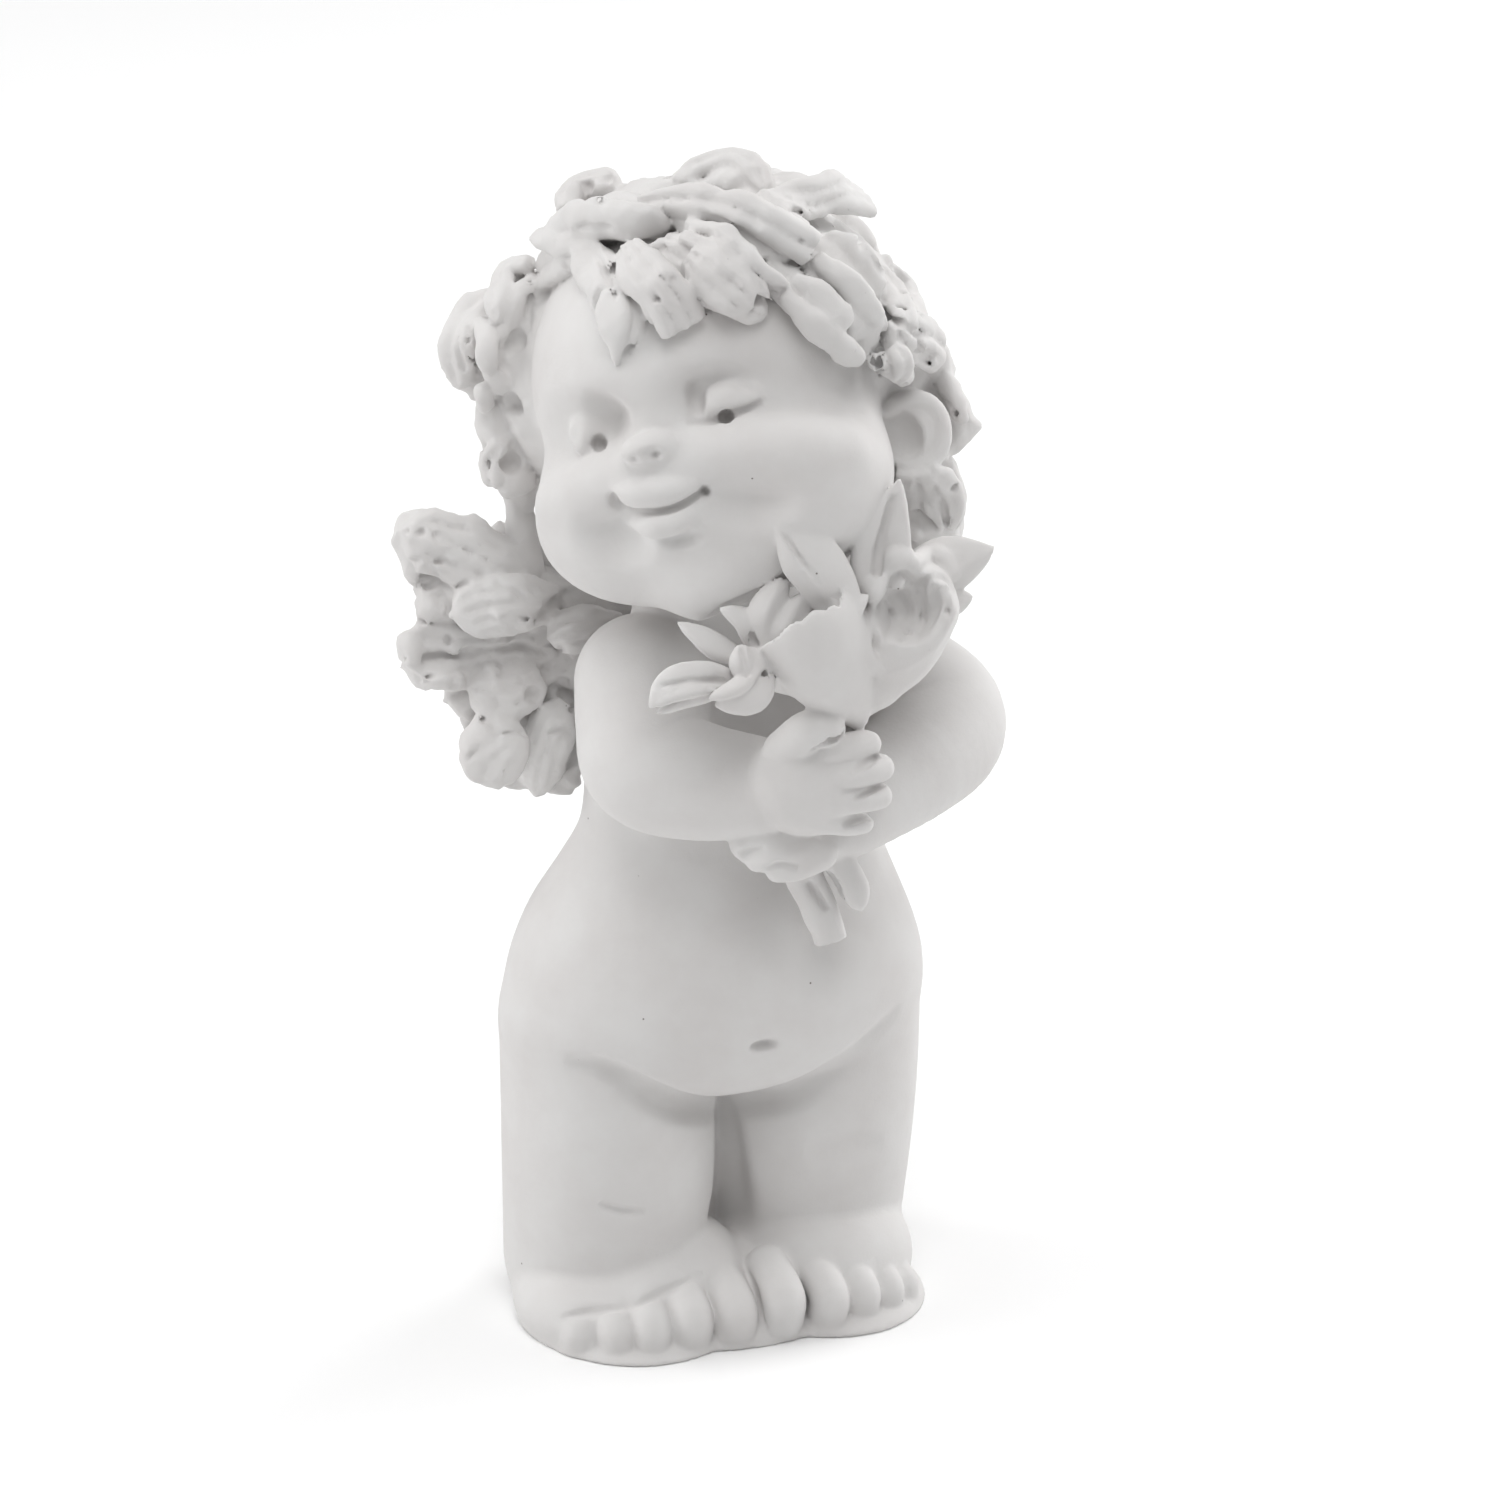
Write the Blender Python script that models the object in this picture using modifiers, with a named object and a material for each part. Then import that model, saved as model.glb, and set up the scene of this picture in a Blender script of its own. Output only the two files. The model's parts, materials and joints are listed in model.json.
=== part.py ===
"""Standing cherub figurine with wings and a bunch of lilies, cast in one piece of plaster."""
import math

import bmesh
import bpy
import numpy as np
from mathutils import Euler, Matrix, Vector

# Driving sizes, in metres
HEIGHT = 0.120
SOLE_THICKNESS = 0.0026
PUPIL_WIDTH = 0.0017

# How finely the clay is worked, in metres
COARSE_CLAY = 0.0008
FINE_CLAY = 0.00045

# The figure is a free form, so its places and sizes below are in modules,
# and a module is a share of the height
MODULES_HIGH = 119.44
MODULE = HEIGHT / MODULES_HIGH

# Facets
BALL_RINGS, BALL_SEGMENTS = 24, 40
STRIP_SEGMENTS = 24
SAMPLES_PER_SPAN = 6
TRUNK_SOFTENING, HEAD_SOFTENING, ARM_SOFTENING = 4, 30, 4
TRIANGLE_LIMIT = 9800

# Plaster
PLASTER_COLOUR = (0.74, 0.73, 0.72, 1.0)
PLASTER_ROUGHNESS = 0.85

# Trunk: level sections from the seat up to the neck, each a centre, a half width and a half depth
TRUNK = [((-0.5, 1.0, 22.0), 12.0, 8.0), ((-0.5, 0.6, 24.5), 18.4, 12.4), ((-0.5, 0.2, 27.0), 20.8, 14.4),
         ((-0.4, -0.3, 31.0), 21.7, 15.5), ((-0.3, -0.6, 35.0), 21.3, 15.7), ((-0.3, -0.6, 39.0), 20.4, 15.1),
         ((0.0, -0.4, 43.0), 19.1, 14.1), ((0.3, 0.0, 47.0), 17.6, 13.0), ((0.5, 0.0, 51.0), 16.1, 12.0),
         ((0.7, 0.0, 56.0), 15.4, 11.3), ((1.3, 0.0, 62.0), 14.8, 10.8), ((2.0, 0.0, 67.0), 13.2, 10.0),
         ((1.6, -0.4, 72.0), 10.5, 8.8), ((0.6, -1.0, 80.0), 8.5, 8.0)]
NAVEL = ((-0.4, -15.7, 32.6), (1.7, 1.9, 0.8))

# Limbs: x, y, z and radius from one end to the other
RIGHT_LEG = [(-11.3, 0.4, 29.0, 10.9), (-11.3, -0.4, 16.0, 11.1), (-11.3, 0.4, 5.0, 10.4)]
LEFT_LEG = [(9.8, 0.4, 29.0, 10.9), (9.7, -0.4, 16.0, 10.9), (9.7, 0.4, 5.0, 10.0)]
SEATS = [((-9.6, 5.6, 26.0), (10.4, 10.0, 10.6)), ((8.4, 5.6, 26.0), (10.4, 10.0, 10.6))]
RIGHT_ARM = [(-8.2, -2.5, 67.5, 6.8), (-9.4, -5.8, 64.4, 6.6), (-9.8, -9.0, 61.4, 6.4),
             (-6.0, -13.0, 60.6, 5.8), (-1.5, -16.6, 60.8, 4.9)]
LEFT_ARM = [(12.5, 0.0, 68.0, 6.5), (19.0, -2.5, 63.5, 7.2), (22.0, -5.5, 60.2, 7.4),
            (17.0, -11.0, 58.2, 6.4), (8.5, -15.5, 56.5, 5.0)]

# Feet: instep swellings with their turn, and a toe's tip, radius and lean to the side
RIGHT_INSTEP = ((-10.8, -6.0, 4.4), (10.0, 10.8, 7.0), -8)
LEFT_INSTEP = ((8.9, -5.8, 4.4), (9.4, 10.4, 7.0), 24)
TOE_BACK, TOE_RISE, TOE_DROP = 6.5, 0.8, 2.2
RIGHT_TOES = [(-3.6, -18.4, 4.8, 2.35, 0.0), (-7.4, -18.7, 4.4, 2.0, 0.0), (-11.0, -18.3, 4.2, 1.9, 0.05),
              (-14.4, -17.3, 4.0, 1.85, 0.14), (-17.5, -15.6, 3.8, 1.8, 0.24)]
LEFT_TOES = [(2.6, -18.4, 5.0, 2.35, 0.05), (6.5, -17.9, 4.6, 2.0, 0.14), (10.0, -16.6, 4.3, 1.9, 0.26),
             (13.2, -14.6, 4.0, 1.85, 0.38), (16.0, -12.0, 3.8, 1.8, 0.5)]
SOLE_PADS = [((-10.0, -5.2), (11.4, 13.9), -6), ((7.6, -4.8), (11.2, 13.8), 24), ((-0.8, -2.0), (18.0, 15.6), 0)]

# Hands
RIGHT_PALM = [((2.0, -19.8, 62.0), (5.4, 3.8, 5.2)), ((4.0, -20.6, 62.4), (4.0, 3.2, 4.3))]
RIGHT_THUMB = [(-0.5, -21.0, 65.6, 1.8), (2.7, -22.6, 67.6, 1.9), (4.8, -22.2, 67.4, 1.6)]
RIGHT_FINGERS = [[(2.5, -22.0, 65.0, 1.7), (6.4, -23.0, 65.6, 1.7), (9.2, -21.7, 64.9, 1.4)],
                 [(4.8, -22.0, 63.0, 1.6), (8.1, -22.8, 63.1, 1.6), (10.8, -21.0, 62.8, 1.3)],
                 [(4.8, -21.7, 60.6, 1.6), (8.3, -22.3, 60.2, 1.5), (10.8, -20.6, 60.3, 1.3)],
                 [(4.5, -20.7, 58.5, 1.5), (7.6, -21.2, 57.8, 1.4), (9.4, -19.8, 57.9, 1.3)]]
LEFT_PALM = ((2.2, -16.8, 54.9), (6.4, 3.8, 3.6))
LEFT_FINGERS = [[(0.5, -17.2, 56.8, 1.6), (-3.1, -17.9, 55.7, 1.5)],
                [(1.8, -17.2, 54.8, 1.6), (-1.8, -17.9, 53.5, 1.5)],
                [(4.1, -17.2, 53.4, 1.6), (0.6, -17.8, 51.9, 1.5)]]

# Head: turned to its right and tilted, with places in the head's own frame from here on
HEAD_CENTRE = (-0.5, -2.0, 95.4)
HEAD_TURN, HEAD_TILT = -37.5, -18.0
SKULL = ((0.0, 1.5, 3.0), (17.8, 18.4, 16.9))
JAW = ((0.2, -3.8, -8.2), (16.2, 13.4, 10.8))
CHEEK = ((9.3, -7.7, -7.0), (9.0, 8.2, 8.2))
CHIN = ((0.5, -11.4, -13.5), (6.2, 5.2, 4.8))
MUZZLE = ((-1.4, -13.2, -5.2), (6.8, 5.0, 5.0))
EYE_SOCKET = ((6.4, -19.6, 3.8), (4.4, 3.8, 3.2))
EYE_LID = ((6.7, -13.9, 3.5), (3.3, 2.3, 2.2))
LID_LINE = [(3.8, -16.3, 2.4, 0.5), (6.7, -16.4, 1.8, 0.65), (9.9, -14.9, 2.6, 0.45)]
PUPIL = (6.65, -16.2, 2.0)
PUPIL_DEPTH = 2.2
NOSE = ((-0.9, -17.3, 1.0), (2.5, 2.5, 1.8))
UPPER_LIP = [(-5.8, -15.4, -3.6, 0.9), (-3.4, -17.1, -3.4, 1.35), (-0.6, -17.2, -3.2, 1.45), (2.4, -15.8, -3.3, 0.9)]
LOWER_LIP = [(-4.9, -15.4, -6.4, 0.9), (-2.0, -16.8, -7.1, 1.25), (1.2, -15.8, -6.3, 0.9)]
MOUTH_LINE = [(-6.4, -16.0, -3.7, 0.6), (-4.3, -17.4, -4.9, 0.75), (-1.4, -18.2, -5.4, 0.8),
              (1.4, -17.5, -4.9, 0.75), (3.6, -16.0, -3.6, 0.7)]
EAR = ((18.6, 2.4, -7.4), (4.2, 2.8, 5.0), 32)
EAR_HOLLOW = ((18.2, -0.3, -7.0), (2.6, 2.4, 3.3), 32)

# Hair: swellings of the mass, then each lock along the scalp as azimuth, elevation and lift,
# with its half width, half thickness and how its tip ends
HAIR_MASS = [((0.0, 4.8, 3.8), (19.4, 17.4, 17.0)), ((-16.5, 3.0, 5.0), (7.0, 8.0, 12.0)),
             ((14.5, 7.0, 0.0), (7.0, 8.0, 12.0)), ((0.0, 9.0, -8.0), (15.0, 11.0, 12.0))]
SCALP = ((0.0, 2.6, 3.0), (19.6, 18.6, 17.2))
LOCKS = [
    ([(-84, 46, 0.4), (-70, 60, 1.0), (-24, 70, 1.6), (16, 62, 1.2)], 2.9, 2.0, "round"),
    ([(-82, 42, 0.6), (-58, 54, 0.4), (-22, 56, 0.4)], 2.2, 1.3, "point"),
    ([(-26, 58, 0.2), (-8, 46, 0.8), (-2, 33, 0.8), (-4, 18, -0.4)], 2.0, 1.3, "round"),
    ([(-4, 56, 0.6), (9, 43, 1.2), (15, 27, 0.8)], 2.5, 1.5, "round"),
    ([(16, 54, 0.8), (31, 39, 1.2), (39, 26, 0.6), (43, 20, -0.1)], 3.1, 1.6, "point"),
    ([(30, 54, 1.0), (43, 37, 1.8), (50, 22, 1.0)], 1.7, 1.2, "point"),
    ([(10, 72, 0.6), (42, 62, 1.4), (60, 45, 1.6), (68, 31, 1.8)], 3.0, 1.9, "round"),
    ([(-80, 62, 1.2), (-100, 66, 3.6), (-118, 72, 2.4)], 2.4, 1.8, "round"),
    ([(-60, 74, 0.8), (-90, 80, 3.0), (-140, 78, 2.2)], 2.2, 1.6, "round"),
    ([(-60, 74, 0.4), (-40, 84, 0.8), (63, 82, 0.8), (88, 66, 0.6)], 3.0, 1.6, "point"),
    ([(150, 76, 0.2), (120, 70, 1.8), (82, 58, 1.8)], 3.0, 2.0, "round"),
    ([(70, 58, 0.6), (90, 50, 2.0), (100, 38, 4.0)], 4.0, 1.5, "round"),
    ([(50, 34, 0.6), (58, 16, 0.6), (65, -2, 0.0)], 2.6, 1.4, "point"),
    ([(62, 30, 1.0), (71, 15, 1.2), (78, 1, 0.8)], 1.7, 1.2, "point"),
    ([(74, 38, 0.2), (83, 22, 0.5), (88, 6, 0.4)], 3.6, 1.5, "round"),
    ([(90, 24, 0.0), (100, 4, 0.2), (102, -12, 1.4)], 3.6, 1.7, "point"),
    ([(78, 0, 0.8), (90, -5, 1.8), (99, -12, 2.4)], 2.8, 1.7, "round"),
    ([(70, -4, 0.2), (78, -9, 1.2), (84, -14, 0.8)], 1.5, 1.1, "round"),
    ([(112, -16, 1.0), (104, -22, 4.6), (98, -28, 8.0)], 3.0, 1.4, "point"),
    ([(-84, 44, -1.0), (-86, 32, 0.8), (-86, 20, 4.6), (-84, 8, 4.4)], 4.0, 2.6, "round"),
    ([(-79, 42, 0.4), (-76, 32, 1.6), (-74, 20, 2.2), (-70, 9, 1.0)], 2.5, 1.7, "round"),
    ([(-82, 10, 1.6), (-80, 0, 2.8), (-78, -8, 2.6)], 2.6, 2.4, "round"),
    ([(-80, -4, 1.6), (-80, -12, 4.2), (-78, -19, 4.4)], 2.8, 2.4, "round"),
    ([(-92, -16, 1.6), (-94, -30, 3.4), (-92, -42, 3.8)], 3.2, 2.4, "round"),
]
BACK_ROWS = [(60, 4, 110, 250, 0.6), (38, 6, 104, 262, 0.8), (14, 7, 106, 262, 1.0), (-10, 7, 110, 258, 2.0),
             (-32, 6, 112, 252, 4.8)]
BACK_LOCK_DROP, BACK_LOCK_SWING = 26, 10
BACK_LOCK_WIDTH, BACK_LOCK_THICKNESS = 4.6, 2.1

# Wings: the right one's pads and feathers, which the left one mirrors
WING_PADS = [((-14.0, 10.5, 67.0), (9.0, 2.2, 8.0), -12), ((-8.0, 9.0, 66.5), (5.5, 3.4, 7.0), 0)]
LONG_FEATHERS = [([(-13.5, 9.0, 71.6), (-20.3, 11.0, 77.0), (-28.2, 12.6, 80.6)], 3.6),
                 ([(-13.5, 9.4, 70.7), (-22.1, 11.5, 74.2), (-27.2, 12.8, 74.6)], 3.2),
                 ([(-13.5, 9.4, 69.3), (-21.7, 11.5, 70.0), (-27.0, 12.6, 69.9)], 3.0),
                 ([(-13.5, 9.0, 67.9), (-21.8, 11.3, 67.0), (-28.6, 12.6, 66.2)], 3.0),
                 ([(-13.5, 9.0, 65.8), (-19.6, 11.2, 63.8), (-25.0, 12.2, 61.8)], 3.0),
                 ([(-12.4, 9.0, 63.4), (-18.6, 10.8, 59.8), (-22.0, 11.6, 56.6)], 3.2),
                 ([(-11.8, 9.0, 62.1), (-16.7, 10.3, 57.2), (-19.3, 10.8, 53.0)], 3.4),
                 ([(-11.3, 9.0, 59.7), (-13.6, 9.8, 55.2), (-14.9, 10.2, 52.0)], 3.4)]
SHORT_FEATHERS = [([(-15.2, 8.0, 71.7), (-19.5, 8.5, 72.8), (-23.4, 9.8, 72.5)], 3.5),
                  ([(-9.4, 7.0, 70.9), (-12.3, 7.0, 70.8), (-14.8, 8.0, 69.8)], 2.8),
                  ([(-15.2, 8.0, 64.9), (-19.2, 8.2, 64.7), (-22.4, 9.3, 65.0)], 3.2),
                  ([(-10.8, 7.8, 62.3), (-14.0, 7.5, 60.6), (-16.3, 8.5, 57.6)], 2.8)]
LONG_FEATHER_THICKNESS, SHORT_FEATHER_THICKNESS = 1.6, 1.4
BACK_FEATHERS = [([(-8.0, 11.6, 72.0), (-14.0, 13.2, 75.0), (-20.0, 14.2, 77.0)], 4.0),
                 ([(-8.0, 11.6, 69.0), (-14.5, 13.4, 69.5), (-20.5, 14.4, 69.6)], 4.0),
                 ([(-8.0, 11.6, 66.0), (-14.0, 13.2, 64.6), (-19.5, 14.0, 63.2)], 4.0),
                 ([(-7.5, 11.2, 63.0), (-12.0, 12.4, 60.0), (-15.8, 13.0, 57.0)], 4.0)]

# Lilies: the throats of the two trumpets, their hollows, then each petal
TRUMPET = [(6.7, -19.6, 66.0, 2.0), (5.6, -20.0, 71.7, 3.6), (5.2, -20.5, 76.2, 5.2), (5.2, -20.5, 78.2, 6.0)]
TRUMPET_MOUTH = ((5.0, -20.5, 83.6), (5.0, 4.6, 5.0))
BELL = [(8.0, -20.5, 69.6, 2.4), (9.8, -22.0, 74.6, 4.0), (11.2, -22.6, 79.0, 5.2), (11.4, -22.8, 82.0, 4.8)]
BELL_MOUTH = ((10.4, -29.2, 82.8), (3.9, 4.6, 4.6))
STAR_HEART = [((-1.6, -19.6, 73.6), (4.2, 3.0, 4.2)), ((-3.2, -22.4, 75.6), (1.8, 1.6, 1.8))]
STAR_NECK = [(-1.0, -19.2, 73.0, 2.4), (4.5, -19.0, 68.0, 1.9)]
BUD = [(-4.4, -22.6, 75.6, 1.2), (-5.6, -24.4, 77.8, 1.5), (-4.9, -24.6, 78.8, 1.0)]
PETALS = [([(5.4, -20.8, 76.0), (2.0, -22.6, 83.6), (-2.3, -24.0, 91.0)], 3.9),
          ([(9.4, -21.0, 79.0), (11.6, -20.5, 84.9), (13.0, -20.5, 90.8)], 3.9),
          ([(12.9, -20.0, 80.0), (18.6, -19.5, 82.0), (22.9, -19.0, 82.8)], 3.4),
          ([(13.0, -22.0, 80.0), (16.5, -22.0, 80.0), (19.2, -22.0, 79.4)], 2.0),
          ([(-4.0, -22.0, 75.5), (-10.0, -22.6, 76.4), (-14.3, -21.4, 73.9)], 3.3),
          ([(-3.4, -21.0, 76.0), (-7.2, -20.4, 78.1), (-10.6, -19.4, 79.9)], 2.3),
          ([(-3.3, -20.0, 76.6), (-4.4, -19.6, 79.3), (-6.6, -19.0, 80.3)], 2.3),
          ([(-2.3, -20.6, 76.0), (-1.5, -20.6, 80.3), (0.5, -20.4, 84.0)], 2.2),
          ([(-1.5, -21.0, 75.6), (0.6, -21.2, 78.8), (3.4, -21.0, 82.3)], 2.1),
          ([(-2.2, -22.5, 75.0), (0.0, -23.0, 78.0), (3.0, -23.0, 80.3)], 2.1),
          ([(-0.6, -21.8, 76.2), (-4.8, -24.6, 76.0), (-9.2, -25.2, 73.4)], 2.9)]
PETAL_THICKNESS, PETAL_FOLD = 0.95, 1.0
PETALS_FACE = Vector((-0.32, -0.87, 0.37))
STEMS = [[(2.4, -15.2, 51.5, 1.8), (4.5, -16.2, 47.4, 1.8), (5.5, -16.8, 44.8, 1.8)],
         [(5.4, -15.8, 52.5, 1.8), (8.4, -16.2, 49.2, 1.8), (9.6, -16.2, 47.6, 1.7)]]

HEAD = (Matrix.Translation(Vector(HEAD_CENTRE) * MODULE) @ Matrix.Rotation(math.radians(HEAD_TURN), 4, "Z")
        @ Matrix.Rotation(math.radians(HEAD_TILT), 4, "Y"))
BODY = Matrix.Identity(4)


def mirrored(place):
    """The same place on the other side of the body."""
    return (-place[0],) + tuple(place[1:])


def ball(clay, centre, half_sizes, turn=0.0, frame=BODY):
    """A swelling: a ball stretched to its half sizes and turned about its upright axis."""
    stretch = Matrix.Diagonal((*(Vector(half_sizes) * MODULE), 1.0))
    place = frame @ Matrix.Translation(Vector(centre) * MODULE) @ Matrix.Rotation(math.radians(turn), 4, "Z")
    bmesh.ops.create_uvsphere(clay, u_segments=BALL_SEGMENTS, v_segments=BALL_RINGS, radius=1.0,
                              matrix=place @ stretch)


def smooth_line(stations):
    """Stations in metres along a soft curve that passes through the given ones, which are in modules."""
    given = np.array(stations, float) * MODULE
    given = np.vstack([2 * given[0] - given[1], given, 2 * given[-1] - given[-2]])
    share = np.arange(SAMPLES_PER_SPAN)[:, None] / SAMPLES_PER_SPAN
    spans = []
    for before, start, end, after in zip(given, given[1:], given[2:], given[3:]):
        bend = 2 * before - 5 * start + 4 * end - after
        twist = 3 * start - before - 3 * end + after
        spans.append(start + 0.5 * ((end - before) * share + bend * share ** 2 + twist * share ** 3))
    return np.vstack(spans + [given[-2:-1]])


def strip(clay, spots, sides, normals):
    """A closed skin of one ring per spot, which starts as a ball and is drawn along the spots."""
    rings = len(spots) - 1
    made = bmesh.ops.create_uvsphere(clay, u_segments=STRIP_SEGMENTS, v_segments=rings, radius=1.0)
    for vertex in made["verts"]:
        height = max(-1.0, min(1.0, vertex.co.z))
        ring = round(math.acos(-height) / math.pi * rings)
        around = math.hypot(vertex.co.x, vertex.co.y)
        across, outward = (vertex.co.x / around, vertex.co.y / around) if around > 1e-6 else (0.0, 0.0)
        vertex.co = spots[ring] + sides[ring] * across + normals[ring] * outward


def limb(clay, stations, frame=BODY):
    """A round limb whose radius follows its stations, with rounded ends."""
    line = smooth_line(stations)
    spots = [frame @ Vector(station[:3]) for station in line]
    radii = list(line[:, 3])
    start, end = (spots[0] - spots[1]).normalized(), (spots[-1] - spots[-2]).normalized()
    caps = [math.radians(angle) for angle in (90, 60, 30)]
    first = [(spots[0] + start * radii[0] * math.sin(cap), radii[0] * math.cos(cap)) for cap in caps]
    last = [(spots[-1] + end * radii[-1] * math.sin(cap), radii[-1] * math.cos(cap)) for cap in reversed(caps)]
    rings = first + list(zip(spots, radii)) + last
    spots, radii = [spot for spot, radius in rings], [radius for spot, radius in rings]
    sides, normals = [], []
    for ring, radius in enumerate(radii):
        along = spots[min(ring + 1, len(spots) - 1)] - spots[max(ring - 1, 0)]
        side = along.cross(Vector((0.31, 0.52, 0.79))).normalized()
        sides.append(side * radius)
        normals.append(along.cross(side).normalized() * radius)
    strip(clay, spots, sides, normals)


def blade(clay, stations, half_width, half_thickness, ending, facing, fold=0.0):
    """A lock, feather or petal: a flat strip along its stations, facing one way, with its ends drawn in."""
    half_width, half_thickness, fold = (size * MODULE for size in (half_width, half_thickness, fold))
    spots = [Vector(station) for station in smooth_line(stations)]
    last = len(spots) - 1
    sides, normals = [], []
    for ring, spot in enumerate(spots):
        along = (spots[min(ring + 1, last)] - spots[max(ring - 1, 0)]).normalized()
        normal = facing(spot)
        normal = (normal - along * normal.dot(along)).normalized()
        width = ending(ring / last)
        sides.append(along.cross(normal) * half_width * width)
        normals.append(normal * half_thickness * math.sqrt(width))
    made = len(clay.verts)
    strip(clay, spots, sides, normals)
    if fold:
        clay.verts.ensure_lookup_table()
        for vertex in clay.verts[made:]:
            ring = min(range(last + 1), key=lambda index: (vertex.co - spots[index]).length_squared)
            reach = abs((vertex.co - spots[ring]).dot(sides[ring])) / max(sides[ring].length_squared, 1e-12)
            vertex.co += facing(spots[ring]).normalized() * fold * min(reach, 1.0)


def round_end(share):
    """Width along a lock or feather with a broad rounded tip."""
    return min(1.0, 0.5 + 1.6 * share, math.sqrt(max(1.0 - share, 0.0) * 5))


def pointed_end(share):
    """Width along a lock that narrows to its tip."""
    return min(1.0, 0.55 + 1.6 * share, 1.4 * max(1.0 - share, 0.0) ** 0.6)


def petal_end(share):
    """Width along a petal, narrow at both ends."""
    return math.sin(math.pi * (0.12 + 0.88 * share)) ** 0.75 if share < 1.0 else 0.0


ENDINGS = {"round": round_end, "point": pointed_end}


def settle(name, clay, voxel, softening):
    """Fuse overlapping forms into one skin, soften it and hand it back as fresh clay."""
    mesh = bpy.data.meshes.new(name)
    clay.to_mesh(mesh)
    clay.free()
    lump = bpy.data.objects.new(name, mesh)
    bpy.context.scene.collection.objects.link(lump)
    fuse = lump.modifiers.new("Fuse", "REMESH")
    fuse.mode, fuse.voxel_size = "VOXEL", voxel
    if softening:
        soften = lump.modifiers.new("Soften", "SMOOTH")
        soften.factor, soften.iterations = 0.5, softening
    return worked(lump)


def worked(lump):
    """The lump's skin as its modifiers leave it, as fresh clay."""
    shown = lump.evaluated_get(bpy.context.evaluated_depsgraph_get())
    mesh = bpy.data.meshes.new_from_object(shown)
    clay = bmesh.new()
    clay.from_mesh(mesh)
    bpy.data.meshes.remove(mesh)
    bpy.data.objects.remove(lump)
    return clay


def add_clay(clay, more):
    """Lay one lump of clay into another."""
    mesh = bpy.data.meshes.new("more")
    more.to_mesh(mesh)
    more.free()
    clay.from_mesh(mesh)
    bpy.data.meshes.remove(mesh)


def trunk():
    """Belly, waist, chest and neck as one drawn skin over the legs, with the navel in it."""
    line = smooth_line([(*centre, half_width, half_depth) for centre, half_width, half_depth in TRUNK])
    clay = bmesh.new()
    strip(clay, [Vector(station[:3]) for station in line], [Vector((station[3], 0, 0)) for station in line],
          [Vector((0, station[4], 0)) for station in line])
    add_clay(clay, legs())
    clay = settle("trunk", clay, COARSE_CLAY, TRUNK_SOFTENING)
    hollow = bmesh.new()
    ball(hollow, *NAVEL)
    return carve("trunk", clay, hollow)


def legs():
    """Two stout legs with a groove between them, and the seat behind."""
    clay = bmesh.new()
    limb(clay, RIGHT_LEG)
    limb(clay, LEFT_LEG)
    for centre, half_sizes in SEATS:
        ball(clay, centre, half_sizes)
    return clay


def feet():
    """Insteps, ten toes and the thin sole that both feet share."""
    clay = bmesh.new()
    for centre, half_sizes, turn in (RIGHT_INSTEP, LEFT_INSTEP):
        ball(clay, centre, half_sizes, turn)
    for side, toes in ((-1, RIGHT_TOES), (1, LEFT_TOES)):
        for x, y, z, radius, lean in toes:
            back = (x - side * lean * TOE_BACK, y + TOE_BACK, z + TOE_RISE, radius)
            limb(clay, [back, (x, y, z, radius), (x, y + 0.4, z - TOE_DROP, radius)])
    thickness = SOLE_THICKNESS / MODULE
    for (x, y), (half_width, half_length), turn in SOLE_PADS:
        ball(clay, (x, y, 0.0), (half_width, half_length, thickness), turn)
    return clay


def arms():
    """Two bent arms that cross in front of the chest."""
    clay = bmesh.new()
    limb(clay, RIGHT_ARM)
    limb(clay, LEFT_ARM)
    return settle("arms", clay, COARSE_CLAY, ARM_SOFTENING)


def hands():
    """The right hand over the left one, around the stems."""
    clay = bmesh.new()
    for centre, half_sizes in RIGHT_PALM + [LEFT_PALM]:
        ball(clay, centre, half_sizes)
    for finger in [RIGHT_THUMB] + RIGHT_FINGERS + LEFT_FINGERS:
        limb(clay, finger)
    return clay


def head():
    """Skull, jaw, cheeks and chin."""
    clay = bmesh.new()
    for centre, half_sizes in (SKULL, JAW, CHEEK, (mirrored(CHEEK[0]), CHEEK[1]), CHIN, MUZZLE):
        ball(clay, centre, half_sizes, frame=HEAD)
    clay = settle("head", clay, COARSE_CLAY, HEAD_SOFTENING)
    clay = carve("head", clay, eye_sockets())
    add_clay(clay, features())
    return carve("head", settle("head", clay, FINE_CLAY, 1), face_hollows())


def features():
    """Lids, nose, lips and ears."""
    clay = bmesh.new()
    for centre in (EYE_LID[0], mirrored(EYE_LID[0])):
        ball(clay, centre, EYE_LID[1], frame=HEAD)
    ball(clay, *NOSE, frame=HEAD)
    limb(clay, UPPER_LIP, HEAD)
    limb(clay, LOWER_LIP, HEAD)
    centre, half_sizes, turn = EAR
    ball(clay, centre, half_sizes, turn, HEAD)
    ball(clay, mirrored(centre), half_sizes, -turn, HEAD)
    return clay


def scalp_place(azimuth, elevation, lift):
    """A place over the scalp, in modules, seen from the scalp's centre."""
    azimuth, elevation = math.radians(azimuth), math.radians(elevation)
    away = Vector((math.sin(azimuth) * math.cos(elevation), -math.cos(azimuth) * math.cos(elevation),
                   math.sin(elevation)))
    centre, half_sizes = SCALP
    reach = 1 / math.sqrt(sum((part / half) ** 2 for part, half in zip(away, half_sizes)))
    return HEAD @ ((Vector(centre) + away * (reach + lift)) * MODULE) / MODULE


def out_of_scalp(spot):
    """The way out of the head at a spot."""
    return spot - HEAD @ (Vector(SCALP[0]) * MODULE)


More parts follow.
